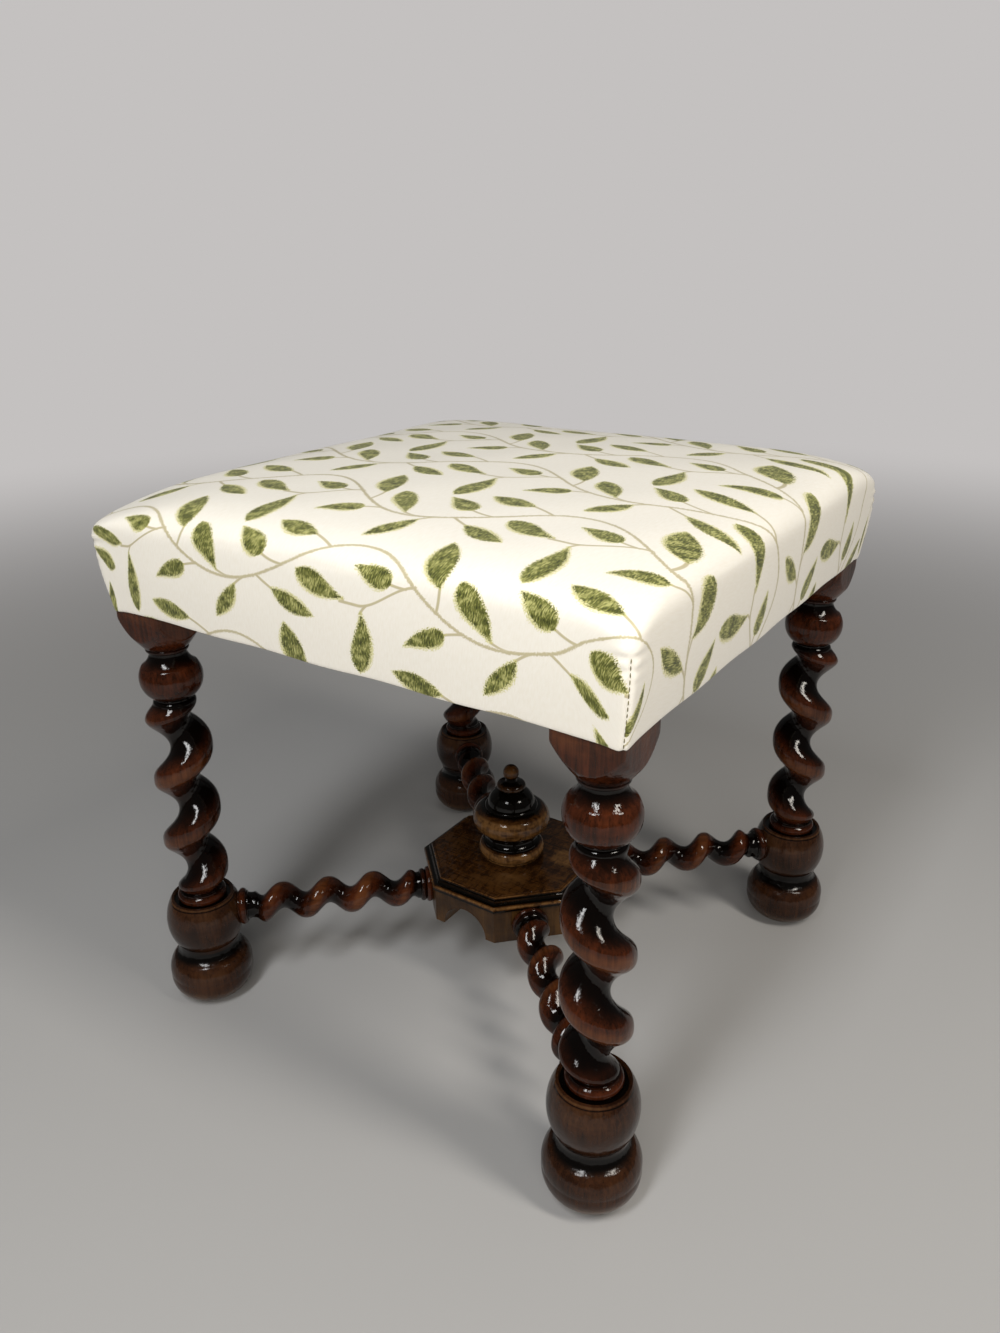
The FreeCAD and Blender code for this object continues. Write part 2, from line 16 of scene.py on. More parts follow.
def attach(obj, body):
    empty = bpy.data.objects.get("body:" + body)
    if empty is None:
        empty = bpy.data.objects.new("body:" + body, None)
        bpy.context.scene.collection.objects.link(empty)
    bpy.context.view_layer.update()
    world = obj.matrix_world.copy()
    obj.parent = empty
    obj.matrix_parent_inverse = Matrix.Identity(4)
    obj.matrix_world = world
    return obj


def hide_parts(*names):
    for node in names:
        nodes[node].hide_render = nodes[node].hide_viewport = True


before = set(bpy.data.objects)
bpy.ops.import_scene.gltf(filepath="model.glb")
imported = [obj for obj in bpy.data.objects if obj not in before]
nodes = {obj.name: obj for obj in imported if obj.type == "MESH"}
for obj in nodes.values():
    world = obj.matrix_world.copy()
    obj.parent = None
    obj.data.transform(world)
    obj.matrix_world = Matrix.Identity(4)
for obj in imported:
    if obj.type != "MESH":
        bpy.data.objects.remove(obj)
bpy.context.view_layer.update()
scene = bpy.context.scene
scene.view_settings.view_transform = "Standard"
MM = 0.001

# %% [markdown]
# A few small tools serve every later step. One turns an sRGB hex colour into the linear numbers that
# shaders expect. One adds a node with its settings and links, so that a tree reads as a list of steps.

# %% Tools for colours and nodes
MATH, VECTOR = "ShaderNodeMath", "ShaderNodeVectorMath"
NOISE, MIX, RANGE = "ShaderNodeTexNoise", "ShaderNodeMix", "ShaderNodeMapRange"


def linear(code):
    """An sRGB hex colour as linear red, green, blue and alpha."""
    parts = [int(code[i:i + 2], 16) / 255 for i in (1, 3, 5)]
    return tuple(c / 12.92 if c <= 0.04045 else ((c + 0.055) / 1.055) ** 2.4 for c in parts) + (1.0,)


def fill(node, inputs):
    """Fill a node's inputs, by number or name, with values or links. A node stands for its first output."""
    for key, value in inputs.items():
        if isinstance(value, bpy.types.Node):
            value = value.outputs[0]
        if isinstance(value, bpy.types.NodeSocket):
            node.id_data.links.new(value, node.inputs[key])
        else:
            node.inputs[key].default_value = value


def add(tree, kind, *values, named=None, **settings):
    """Add a node, set its properties, and fill its inputs in order and by name."""
    node = tree.nodes.new(kind)
    for key, value in settings.items():
        setattr(node, key, value)
    fill(node, {**dict(enumerate(values)), **(named or {})})
    return node


def new_material(name):
    """A material, its node tree and its shader."""
    material = bpy.data.materials.new(name)
    material.use_nodes = True
    return material, material.node_tree, material.node_tree.nodes["Principled BSDF"]


print("middle grey is", round(linear("#808080")[0], 3), "in linear light")

# %% [markdown]
# ## Polished wood
# The frame is a dense, close-grained hardwood, stained and polished with many thin coats of shellac.
# To the eye that gives three layers: a grain drawn along each turned piece, a stain worn to a warm
# red-brown on what stands proud, and a clear glossy film with sharp reflections. Every groove is drawn
# nearly black, partly as the stain kept there and partly as painted shade. The groove and proud places
# come from an attribute that the turned meshes carry, which follows the surface exactly, and the grain
# runs along each piece's own axis.

# %% Polished wood material
GRAIN = (3.2 * MM, 3.2 * MM, 55 * MM)       # between streaks, across and along the piece
CURL = (11 * MM, 11 * MM, 5 * MM)           # the figure that lies across the grain
PORES = (1.1 * MM, 1.1 * MM, 16 * MM)       # real pores are finer, and are drawn as coarse as they show
BLOTCH, FILM = 45 * MM, 6 * MM


def polished_wood(name, deep, mid, warm, worn, coat_roughness, curl=0.3, carried=True):
    """Hardwood, stained darkest in its grooves, where painted shade is added too. The grain is carried by the
    piece or takes its own place.
    """
    material, tree, shader = new_material(name)
    deep, mid, warm, worn = (linear(code) for code in (deep, mid, warm, worn))
    if carried:
        at = add(tree, "ShaderNodeAttribute", attribute_name="grain_at").outputs["Vector"]
    else:
        at = add(tree, "ShaderNodeTexCoord").outputs["Object"]
    proud = add(tree, "ShaderNodeAttribute", attribute_name="proud").outputs["Fac"]
    along, across, curled = (add(tree, VECTOR, at, tuple(1 / s for s in size), operation="MULTIPLY")
                             for size in (GRAIN, PORES, CURL))
    streaks = add(tree, NOISE, named={"Vector": along, "Scale": 1.0, "Detail": 4.0, "Distortion": 0.6})
    pores = add(tree, NOISE, named={"Vector": across, "Scale": 1.0, "Detail": 2.0})
    figure = add(tree, NOISE, named={"Vector": curled, "Scale": 1.0, "Detail": 3.0, "Distortion": 0.8})
    blotch = add(tree, NOISE, named={"Vector": at, "Scale": 1 / BLOTCH, "Detail": 3.0})
    film = add(tree, NOISE, named={"Vector": at, "Scale": 1 / FILM, "Detail": 2.0})
    tone = add(tree, MATH, streaks, blotch, operation="ADD")
    figure = add(tree, MATH, figure, 0.5, operation="SUBTRACT")
    tone = add(tree, MATH, figure, curl, tone, operation="MULTIPLY_ADD")
    tone = add(tree, RANGE, tone, 0.75, 1.25, 0.0, 1.0)
    wood = add(tree, MIX, named={0: tone, 6: mid, 7: warm}, data_type="RGBA")
    pore = add(tree, RANGE, pores, 0.58, 0.72, 0.0, 0.55)
    wood = add(tree, MIX, named={0: pore, 6: wood.outputs[2], 7: deep}, data_type="RGBA")
    uneven = add(tree, MATH, blotch, 1.2, -0.6, operation="MULTIPLY_ADD")
    height = add(tree, MATH, proud, uneven, operation="ADD")
    # Low places take the deep colour: stain, and painted shade in grooves and joins.
    kept = add(tree, RANGE, height, -0.9, 0.35, 0.0, 1.0, interpolation_type="SMOOTHSTEP")
    wood = add(tree, MIX, named={0: kept, 6: deep, 7: wood.outputs[2]}, data_type="RGBA")
    # High places take the worn colour: wear on the crests, and a painted highlight on the platform's bead
    # edges.
    worn_and_highlit = add(tree, RANGE, height, 0.45, 1.15, 0.0, 0.75, interpolation_type="SMOOTHSTEP")
    worn_and_highlit = add(tree, MATH, worn_and_highlit, add(tree, RANGE, tone, 0.0, 1.0, 0.25, 1.0), operation="MULTIPLY")
    wood = add(tree, MIX, named={0: worn_and_highlit, 6: wood.outputs[2], 7: worn}, data_type="RGBA")
    rough = add(tree, RANGE, blotch, 0.3, 0.7, 0.30, 0.44)
    relief = add(tree, MATH, pores, 0.2, film, operation="MULTIPLY_ADD")
    bump = add(tree, "ShaderNodeBump", named={"Strength": 0.6, "Distance": 0.6 * MM, "Height": relief})
    fill(shader, {"Base Color": wood.outputs[2], "Roughness": rough, "Normal": bump, "Coat Normal": bump,
                  "IOR": 1.5, "Specular IOR Level": 0.0, "Coat Weight": 1.0, "Coat IOR": 1.39,
                  "Coat Roughness": coat_roughness})
    return material


leg_wood = polished_wood("stained_polished_walnut", "#050201", "#230f06", "#472110", "#5d361c", 0.07)
platform_wood = polished_wood("worn_polished_walnut", "#050301", "#221106", "#452a11", "#755430", 0.1,
                              curl=1.5)
foot_wood = polished_wood("dulled_polished_walnut", "#050302", "#231209", "#3b2212", "#503720", 0.15)
block_wood = polished_wood("bare_edged_walnut", "#140c05", "#37220e", "#553a1a", "#6c4f2a", 0.3,
                           carried=False)
print("wood finishes:", leg_wood.name, platform_wood.name, foot_wood.name, block_wood.name)

# %% [markdown]
# ## Turned work and the barley twist
# Legs, feet, arms and finial all come off a lathe. A lathe follows one outline, so an outline of
# straight lines and arcs, in millimetres, is enough to describe each of them. The twist is then
# carved by hand: the section stays round, but its centre circles the axis as it climbs. One Geometry
# Nodes tree can do both. It takes an outline as a line of points, wraps a grid round the axis, and
# moves each ring's centre round a helix between two heights. A square limit turns the top of a leg
# back into its uncut block.

# %% Outlines
STEP = 1.1                      # between points along an outline
GROOVE_REACH, GROOVE_DEPTH = 9.0, 4.0       # a point stands proud of its neighbours in this reach


def outline(start, *steps):
    """Points (radius, height): (r, z) is a line, (r, z, r, z) an arc through a middle point."""
    points = [np.array(start, float)]
    for step in steps:
        a, c = points[-1], np.array(step[-2:], float)
        if len(step) == 2:
            count = max(1, math.ceil(np.linalg.norm(c - a) / STEP))
            points += [a + (c - a) * k / count for k in range(1, count + 1)]
            continue
        b = np.array(step[:2], float)
        centre = np.linalg.solve(2 * np.array([b - a, c - a]), [b @ b - a @ a, c @ c - a @ a])
        turn = [math.atan2(*(p - centre)[::-1]) for p in (a, b, c)]
        sweep = (turn[2] - turn[0]) % (2 * math.pi)
        if (turn[1] - turn[0]) % (2 * math.pi) > sweep:
            sweep -= 2 * math.pi
        radius = np.linalg.norm(a - centre)
        count = max(3, math.ceil(abs(sweep) * radius / STEP))
        angles = turn[0] + sweep * np.arange(1, count + 1) / count
        points += [centre + radius * np.array([math.cos(t), math.sin(t)]) for t in angles]
    return np.array(points)


def store(mesh, name, values, kind="FLOAT", key="value"):
    """Give every point of a mesh a named value."""
    mesh.attributes.new(name, kind, "POINT").data.foreach_set(key, np.ravel(values))


def outline_mesh(points, tone_and_shade):
    """The outline as a line mesh that knows how far each point stands proud, with painted shade and its own
    tone added.
    """
    mesh = bpy.data.meshes.new("outline")
    mesh.from_pydata([(r * MM, 0, z * MM) for r, z in points],
                     [(k, k + 1) for k in range(len(points) - 1)], [])
    near = np.exp(-((points[:, None, 1] - points[None, :, 1]) / GROOVE_REACH) ** 2)
    mean = (near * points[None, :, 0]).sum(1) / near.sum(1)
    # A point in a groove is drawn darker, partly as painted shade.
    proud = np.clip((points[:, 0] - mean) / GROOVE_DEPTH, -1, 1)
    store(mesh, "proud", proud + np.interp(points[:, 1], *tone_and_shade))
    return mesh


print("a test ring has", len(outline((10, 0), (14, 4, 10, 8))), "points")

# %% [markdown]
# A Geometry Nodes tree starts with named inputs for its sizes and ends as real geometry in a finish.
# A tool runs it on a seed mesh and keeps the result as a plain mesh, because an exported model can't
# keep a live tree.

# %% Tools for Geometry Nodes trees
def tree_with(name, inputs, kind="GeometryNodeTree", outputs={"Geometry": "Geometry"}):
    """A node tree and its inputs. Their names are listed for each kind of socket."""
    tree = bpy.data.node_groups.new(name, kind)
    for way, sockets in (("INPUT", inputs), ("OUTPUT", outputs)):
        for socket, labels in sockets.items():
            for label in labels.split(", "):
                tree.interface.new_socket(label, in_out=way, socket_type="NodeSocket" + socket)
    return tree, add(tree, "NodeGroupInput").outputs


def end_tree(tree, made, finish, smooth=True):
    """End a tree with real geometry in its finish."""
    made = add(tree, "GeometryNodeRealizeInstances", made)
    made = add(tree, "GeometryNodeSetMaterial", made, named={"Material": finish})
    if smooth:
        made = add(tree, "GeometryNodeSetShadeSmooth", made)
    add(tree, "NodeGroupOutput", made)
    print(tree.name, "has", len(tree.nodes), "nodes")


def placed(name, data):
    """A new object in the scene."""
    thing = bpy.data.objects.new(name, data)
    scene.collection.objects.link(thing)
    return thing


def applied(piece):
    """Keep what a piece's modifiers make as its plain mesh."""
    depsgraph = bpy.context.evaluated_depsgraph_get()
    made = bpy.data.meshes.new_from_object(
        piece.evaluated_get(depsgraph), preserve_all_data_layers=True, depsgraph=depsgraph)
    piece.modifiers.clear()
    piece.data = made
    return piece


def grow(name, seed, tree, **values):
    """Run a Geometry Nodes tree on a seed mesh and keep what it makes."""
    piece = placed(name, seed)
    modifier = piece.modifiers.new("tree", "NODES")
    modifier.node_group = tree
    for item in tree.interface.items_tree:
        if item.in_out == "INPUT" and item.name.replace(" ", "_") in values:
            modifier[item.identifier] = values[item.name.replace(" ", "_")]
    return applied(piece)


# %% Turning tree: wrap an outline round the axis
CORNER_POWER = 20.0             # a high power of cosine and sine is a square with slightly eased corners
CORNER_ROUND = 0.7 * MM         # where the turned cup meets the block's sides

turning, given = tree_with("turned_and_twisted", {
    "Geometry": "Outline", "Int": "Sides", "Material": "Finish",
    "Float": "Throw, Fullness, Pitch, Twist Bottom, Twist Top, Run Out, Phase, Hand, Block Half, "
             "Block From, Tool Marks, Dark Flank, Seed"})
rows = add(turning, "GeometryNodeAttributeDomainSize", given["Outline"]).outputs["Point Count"]
columns = add(turning, MATH, given["Sides"], 1.0, operation="ADD")
grid = add(turning, "GeometryNodeMeshGrid", 1.0, 1.0, columns, rows)
index = add(turning, "GeometryNodeInputIndex")
row = add(turning, MATH, index, rows, operation="MODULO")
column = add(turning, MATH, index, row, operation="SUBTRACT")
column = add(turning, MATH, column, rows, operation="DIVIDE")
column = add(turning, MATH, column, operation="ROUND")
angle = add(turning, MATH, column, given["Sides"], operation="DIVIDE")
angle = add(turning, MATH, angle, 2 * math.pi, operation="MULTIPLY")
cosine = add(turning, MATH, angle, operation="COSINE")
sine = add(turning, MATH, angle, operation="SINE")
place = add(turning, "GeometryNodeInputPosition")
sampled = add(turning, "GeometryNodeSampleIndex", given["Outline"], place, row, data_type="FLOAT_VECTOR")
split = add(turning, "ShaderNodeSeparateXYZ", sampled)
radius, height = split.outputs["X"], split.outputs["Z"]

powers = [add(turning, MATH, add(turning, MATH, side, operation="ABSOLUTE"), CORNER_POWER, operation="POWER")
          for side in (cosine, sine)]
limit = add(turning, MATH, *powers, operation="ADD")
limit = add(turning, MATH, limit, -1 / CORNER_POWER, operation="POWER")
limit = add(turning, MATH, limit, given["Block Half"], operation="MULTIPLY")
squared = add(turning, MATH, radius, limit, CORNER_ROUND, operation="SMOOTH_MIN")
in_block = add(turning, MATH, height, given["Block From"], operation="GREATER_THAN")
radius = add(turning, "GeometryNodeSwitch", in_block, radius, squared, input_type="FLOAT")
print("wrapping takes", len(turning.nodes), "nodes")

# %% Turning tree: carve the twist
MARK_LENGTH = 22 * MM           # of the carver's tool marks

above = add(turning, MATH, height, given["Twist Bottom"], operation="SUBTRACT")
below = add(turning, MATH, given["Twist Top"], height, operation="SUBTRACT")
nearest = add(turning, MATH, above, below, operation="MINIMUM")
ease = add(turning, MATH, nearest, given["Run Out"], operation="DIVIDE", use_clamp=True)
ease = add(turning, MATH, ease, math.pi / 2, operation="MULTIPLY")
ease = add(turning, MATH, ease, operation="SINE")
turns = add(turning, MATH, above, given["Pitch"], operation="DIVIDE")
helix = add(turning, MATH, turns, given["Hand"], operation="MULTIPLY")
helix = add(turning, MATH, helix, 2 * math.pi, given["Phase"], operation="MULTIPLY_ADD")
throw = add(turning, MATH, ease, given["Throw"], operation="MULTIPLY")
shift_x = add(turning, MATH, add(turning, MATH, helix, operation="COSINE"), throw, operation="MULTIPLY")
shift_y = add(turning, MATH, add(turning, MATH, helix, operation="SINE"), throw, operation="MULTIPLY")

seeded = add(turning, "ShaderNodeCombineXYZ", given["Seed"], given["Seed"], given["Seed"])
climbed = add(turning, MATH, height, 1 / MARK_LENGTH, operation="MULTIPLY")
marks_at = add(turning, "ShaderNodeCombineXYZ", cosine, sine, climbed)
marks_at = add(turning, VECTOR, marks_at, seeded, operation="ADD")
marks = add(turning, NOISE, named={"Vector": marks_at, "Scale": 1.0, "Detail": 1.0})
marks = add(turning, MATH, marks, 0.5, operation="SUBTRACT")
marks = add(turning, MATH, marks, given["Tool Marks"], operation="MULTIPLY")
radius = add(turning, MATH, marks, ease, radius, operation="MULTIPLY_ADD")

off_crest = add(turning, MATH, angle, helix, operation="SUBTRACT")
flank = add(turning, MATH, off_crest, operation="SINE")
flank = add(turning, MATH, flank, flank, operation="MULTIPLY")
flank = add(turning, MATH, flank, ease, operation="MULTIPLY")
radius = add(turning, MATH, flank, given["Fullness"], radius, operation="MULTIPLY_ADD")
x = add(turning, MATH, radius, cosine, shift_x, operation="MULTIPLY_ADD")
y = add(turning, MATH, radius, sine, shift_y, operation="MULTIPLY_ADD")
spot = add(turning, "ShaderNodeCombineXYZ", x, y, height)
moved = add(turning, "GeometryNodeSetPosition", grid, named={"Position": spot})
print("with the twist it is", len(turning.nodes), "nodes")

# %% Turning tree: what the wood's finish reads
CREST_SHARE = 0.12              # how much of the twist counts as crest beyond half of it

proud = add(turning, "GeometryNodeInputNamedAttribute", "proud", data_type="FLOAT")
proud = add(turning, "GeometryNodeSampleIndex", given["Outline"], proud, row, data_type="FLOAT")
# The strand's crest is drawn paler and its far side darker, and the flank angle turns the dark side onto each
# turn's upper flank. This is painted shade under each turn of the twist.
lean = add(turning, MATH, given["Hand"], given["Dark Flank"], operation="MULTIPLY")
facing = add(turning, MATH, off_crest, lean, operation="SUBTRACT")
facing = add(turning, MATH, facing, operation="COSINE")
twisted = add(turning, MATH, given["Throw"], 0.0, operation="GREATER_THAN")
facing = add(turning, MATH, facing, twisted, CREST_SHARE, operation="MULTIPLY_ADD")
proud = add(turning, MATH, facing, ease, proud, operation="MULTIPLY_ADD")
grained = add(turning, VECTOR, spot, seeded, operation="ADD")
for name, value, kind in (("proud", proud, "FLOAT"), ("grain_at", grained, "FLOAT_VECTOR")):
    moved = add(turning, "GeometryNodeStoreNamedAttribute", moved, named={"Name": name, "Value": value},
                data_type=kind, domain="POINT")
closed = add(turning, "GeometryNodeMergeByDistance", moved, named={"Distance": 0.01 * MM})
end_tree(turning, closed, given["Finish"])

# %% Turned pieces
ARRIS = math.radians(38)        # edges sharper than this stay crisp


def cleaned(mesh, join=0.0, flat=0.0, loose=False):
    """Join points that meet, drop flat faces and loose points, and point the faces outwards."""
    form = bmesh.new()
    form.from_mesh(mesh)
    if join:
        bmesh.ops.remove_doubles(form, verts=form.verts, dist=join)
    if flat:
        bmesh.ops.dissolve_degenerate(form, edges=form.edges, dist=flat)
    if loose:
        bmesh.ops.delete(form, geom=[v for v in form.verts if not v.link_faces], context="VERTS")
    bmesh.ops.recalc_face_normals(form, faces=form.faces)
    form.to_mesh(mesh)
    form.free()


def finish_piece(piece, slot, *replaced):
    """Let a piece ride on the stool's one body, in place of its solids. The slot is not used."""
    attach(piece, "root")
    if replaced:
        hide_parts(*replaced)
    print(piece.name, "faces", len(piece.data.polygons), "for", replaced)


def turn_piece(name, solid, points, matrix, finish, seed, tone_and_shade, Sides=144, Phase=0.0, Dark_Flank=0.0,
               Hand=1.0, **lengths):
    """Turn an outline, with crisp arrises, in place of a solid. Lengths are in mm, angles in degrees."""
    lengths = {"Pitch": 1000.0, "Run_Out": 1000.0, "Block_From": 10000.0, **lengths}
    piece = grow(name, outline_mesh(points, tone_and_shade), turning, Finish=finish, Seed=seed, Sides=Sides, Hand=Hand,
                 Phase=math.radians(Phase), Dark_Flank=math.radians(Dark_Flank),
                 **{key: value * MM for key, value in lengths.items()})
    piece.data.transform(matrix)
    cleaned(piece.data)
    piece.data.set_sharp_from_angle(angle=ARRIS)
    finish_piece(piece, "polished_wood", solid)


print("edges sharper than", round(math.degrees(ARRIS)), "degrees stay crisp")

# %% [markdown]
# ## Legs
# Each leg is one length of wood: a tenon that goes down into the foot, a ring, the single-strand
# twist, a pear-shaped ball, a neck, and the square block that takes the rails. The left legs twist
# the other way from the right ones, and the back legs are turned a quarter round. A list goes with
# each outline, as heights and how much paler or darker the wood is drawn there. The dark bands at the
# ring over the foot, under the ball, on the ball's top and in the neck are painted shade.

# %% Make the legs
LEG_AT = 220.5
CUP_BOTTOM = 375.0
TWIST_RADIUS = 19.2
# The flank angle, in degrees, turns the twist's painted shade onto the upper flank of each turn.
TWIST = {"Throw": 9.2, "Fullness": 2.6, "Pitch": 65.0, "Twist_Bottom": 122.0, "Twist_Top": 320.0,
         "Run_Out": 17.0, "Block_Half": 27.75, "Block_From": CUP_BOTTOM, "Tool_Marks": 0.8, "Dark_Flank": 32.0}
TWIST_AT, TWIST_ANGLE = 295.0, 19.0         # height where the front right strand points along the angle
CORNERS = {"front_left": (-1, -1), "front_right": (1, -1), "back_left": (-1, 1), "back_right": (1, 1)}
# Heights, and how much paler or darker the leg is drawn: dark at the ring over the foot, under the ball, on its
# top and in the neck, as painted shade, and paler on the cup and block.
LEG_TONE_AND_SHADE = ((109, 116, 122, 130, 304, 324, 338, 352, 360, 372, 376, 384, 400, 410),
             (-0.8, -0.7, -0.6, 0, 0, -0.9, 0.2, 0.1, -0.3, -0.4, -0.2, 0.3, 0.5, 0.6))
leg_outline = outline(
    (0, 67.5), (12, 67.5), (12, 109.5), (20.6, 109.5), (23.2, 113.9, 21, 118.1), (20.2, 118.7), (20.2, 119.8),
    (TWIST_RADIUS, 120.2), (TWIST_RADIUS, TWIST["Twist_Top"]), (18.8, 322.2, 17.4, 324), (16.5, 324.6),
    (17.3, 325.1, 16.5, 325.6), (18.2, 326), (28, 342.5, 24.5, 357), (18.9, 362.5, 16.5, 368), (16.5, 370.5),
    (19.1, 372.8, 18, CUP_BOTTOM), (19.5, CUP_BOTTOM), (28.45, 386.5, 40.2, 408), (40.2, 465), (0, 465))
for number, (corner, (sx, sy)) in enumerate(CORNERS.items()):
    phase = TWIST_ANGLE if sx > 0 else 180 - TWIST_ANGLE
    phase += sx * 360 * (TWIST_AT - TWIST["Twist_Bottom"]) / TWIST["Pitch"]
    phase += 90 * sx if sy > 0 else 0
    stand = Matrix.Translation((sx * LEG_AT * MM, sy * LEG_AT * MM, 0))
    turn_piece(f"twisted_leg_{corner}", f"leg_{corner}", leg_outline, stand, leg_wood, 3.7 * number, LEG_TONE_AND_SHADE,
               Phase=phase, Hand=float(-sx), **TWIST)

# %% [markdown]
# ## Feet
# Each foot is a ball over a flattened bun, turned as one piece, with a shallow recess for the leg's
# ring. The same tree makes it, with no throw.

# %% Make the feet
# Heights, and how much paler or darker the foot is drawn: dark at the floor, in the cove under the ball and in
# the dish round the leg's ring, as painted shade, with a pale line on the rim.
FOOT_TONE_AND_SHADE = ((0, 10, 27, 44, 52, 60, 66, 84, 100, 108.9, 109.2, 109.6, 110.2, 111, 112),
              (-0.6, 0.1, 0.2, 0, -0.6, -0.7, -0.2, -0.2, -0.4, -0.3, -2, -2, -0.3, 0.5, -0.9))
foot_outline = outline(
    (0, 0), (21, 0), (35, 8.5, 40, 27), (38.6, 39, 34, 46), (28, 52, 27, 59), (30, 59.5), (30, 62.5),
    (36.8, 88, 30.6, 110.5), (29.6, 112), (27.4, 112), (26.3, 109.5), (20, 109.3), (0, 109.3))
for number, (corner, (sx, sy)) in enumerate(CORNERS.items()):
    stand = Matrix.Translation((sx * LEG_AT * MM, sy * LEG_AT * MM, 0))
    turn_piece(f"turned_foot_{corner}", f"foot_{corner}", foot_outline, stand, foot_wood,
               2.3 * number + 0.9, FOOT_TONE_AND_SHADE)

# %% [markdown]
# ## Stretcher arms
# The four arms run from the platform's diagonal faces to the feet. They carry the same twist at a
# smaller size, with thin rings at the inner end and one bead against the ball at the outer end. An
# arm is turned upright, like the leg, then laid along its diagonal.

# %% Make the stretcher arms
ARM_Z = 91.0
BALL_RADIUS, ARM_SEAT = 36.8, 4.0          # an arm ends in a flat seat cut into the foot's ball
ARM_START, ARM_END = 85.0, LEG_AT * math.sqrt(2) - BALL_RADIUS + ARM_SEAT
ARM_RADIUS, TENON = 13.2, 18.0
ARM_TWIST = {"Throw": 6.2, "Fullness": 1.4, "Pitch": 45.4, "Twist_Bottom": ARM_START + 15, "Run_Out": 11.0,
             "Twist_Top": ARM_END - 17, "Tool_Marks": 0.5}
# Both ends of an arm are drawn darker where they meet the platform and a foot: painted shade.
ARM_TONE_AND_SHADE = ([ARM_START + k for k in (0, 12, 30, 50)] + [ARM_END - k for k in (60, 40, 15, 0)],
             (-0.9, -1.0, -0.3, 0.1, 0.1, -0.4, -0.9, -0.9))
ARMS = {"front_left": (225, -1, 204), "back_right": (45, -1, 335),
        "front_right": (315, 1, 120), "back_left": (135, 1, 250)}      # bearing, hand, first angle
arm_outline = outline(
    (0, ARM_START - TENON), (7.5, ARM_START - TENON), (7.5, ARM_START), (14, ARM_START),
    (18, ARM_START + 3, 14, ARM_START + 6), (16.5, ARM_START + 9, 13.8, ARM_START + 12),
    (ARM_RADIUS, ARM_START + 15), (ARM_RADIUS, ARM_END - 17),
    (ARM_RADIUS - 0.4, ARM_END - 13, ARM_RADIUS + 0.4, ARM_END - 10), (ARM_RADIUS + 2, ARM_END - 9.6),
    (ARM_RADIUS + 2, ARM_END - 8.6), (18, ARM_END - 5, 15, ARM_END - 1), (15, ARM_END), (7.5, ARM_END),
    (7.5, ARM_END + TENON), (0, ARM_END + TENON))
for number, (corner, (bearing, hand, first)) in enumerate(ARMS.items()):
    laid = (Matrix.Translation((0, 0, ARM_Z * MM)) @ Matrix.Rotation(math.radians(bearing), 4, "Z")
            @ Matrix.Rotation(math.radians(90), 4, "Y"))
    turn_piece(f"twisted_arm_{corner}", f"stretcher_{corner}", arm_outline, laid, leg_wood,
               5.1 * number + 1.7, ARM_TONE_AND_SHADE, Sides=96, Phase=first, Hand=float(hand), **ARM_TWIST)

# %% [markdown]
# ## Finial
# A stack of rings, a flattened bun, a dome and a small tip, turned in one piece and pegged through
# the platform. Its heights count from the board's top.

# %% Make the finial
BOARD_TOP = 119.5
# Heights over the board, and how much paler or darker the finial is drawn: dark in its grooves, neck and dome
# under the seat, as painted shade, and paler on the base ring, bun and tip.
FINIAL_TONE_AND_SHADE = ((0, 4, 12, 15, 17, 26, 32, 50, 55, 58, 73, 76, 80, 83, 90),
                (-0.1, 0.6, 0.2, -1.2, -1.0, -0.6, 0.2, 0.1, -0.9, -1.4, -1.4, -0.6, -0.9, -0.6, 0.2))
finial_outline = outline(
    (0, -18), (9, -18), (9, 0), (30.5, 0), (31, 2), (33.6, 8, 29.5, 14), (28, 14.3), (29.2, 15.5, 27.4, 16.7),
    (24.8, 21.5, 28.5, 28.5), (39, 43, 27, 55.2), (26.2, 56.8, 24, 58.2), (21.3, 66.5, 12.5, 73.5),
    (14.8, 77.5, 11.5, 81), (6.2, 82.5), (5.4, 85.2), (8.1, 92.3, 0, 100.2))
raised = (np.array(FINIAL_TONE_AND_SHADE[0]) + BOARD_TOP, FINIAL_TONE_AND_SHADE[1])
turn_piece("turned_finial", "finial", finial_outline + (0, BOARD_TOP), Matrix.Identity(4), platform_wood,
           8.3, raised)

# %% [markdown]
# ## Platform
# The platform is an octagonal board with a moulded edge on an arched block. The board's edge is one
# moulding carried round eight sides with mitred corners, so it is drawn as a list of distances from
# the middle and heights, and lofted from side to side. The block keeps its imported solid. Round the
# finial's foot the board is painted darker, as shade under the finial, and at one place it is rubbed
# bare. Along the edge the hollows are painted dark as shade, and the arrises pale as wear and painted
# highlight.

# %% Tools for meshes
def rings_of_faces(count, around):
    """Faces between rings of points that follow each other."""
    return [(k + c, k + around + c, k + around + (c + 1) % around, k + (c + 1) % around)
            for k in range(0, (count - 1) * around, around) for c in range(around)]


def made_piece(name, vertices, faces, material):
    """A piece from points in millimetres and faces."""
    mesh = bpy.data.meshes.new(name)
    mesh.from_pydata(np.asarray(vertices) * MM, [], faces)
    cleaned(mesh)
    mesh.materials.append(material)
    return placed(name, mesh)


def read(layer, key, count, width=1):
    """Numbers from a mesh, in rows of a width."""
    values = np.zeros(count * width)
    layer.foreach_get(key, values)
    return values.reshape(-1, width) if width > 1 else values


def spots_of(mesh):
    """The mesh's points in millimetres."""
    return read(mesh.vertices, "co", len(mesh.vertices), 3) / MM


def refinish(piece, material):
    """Give a piece one material in place of those it has."""
    piece.data.materials.clear()
    piece.data.materials.append(material)


print("faces between two squares:", rings_of_faces(2, 4))

# %% Make the platform
EIGHTH = math.radians(45)
SIDE_POINTS = 10                # along each of the eight sides
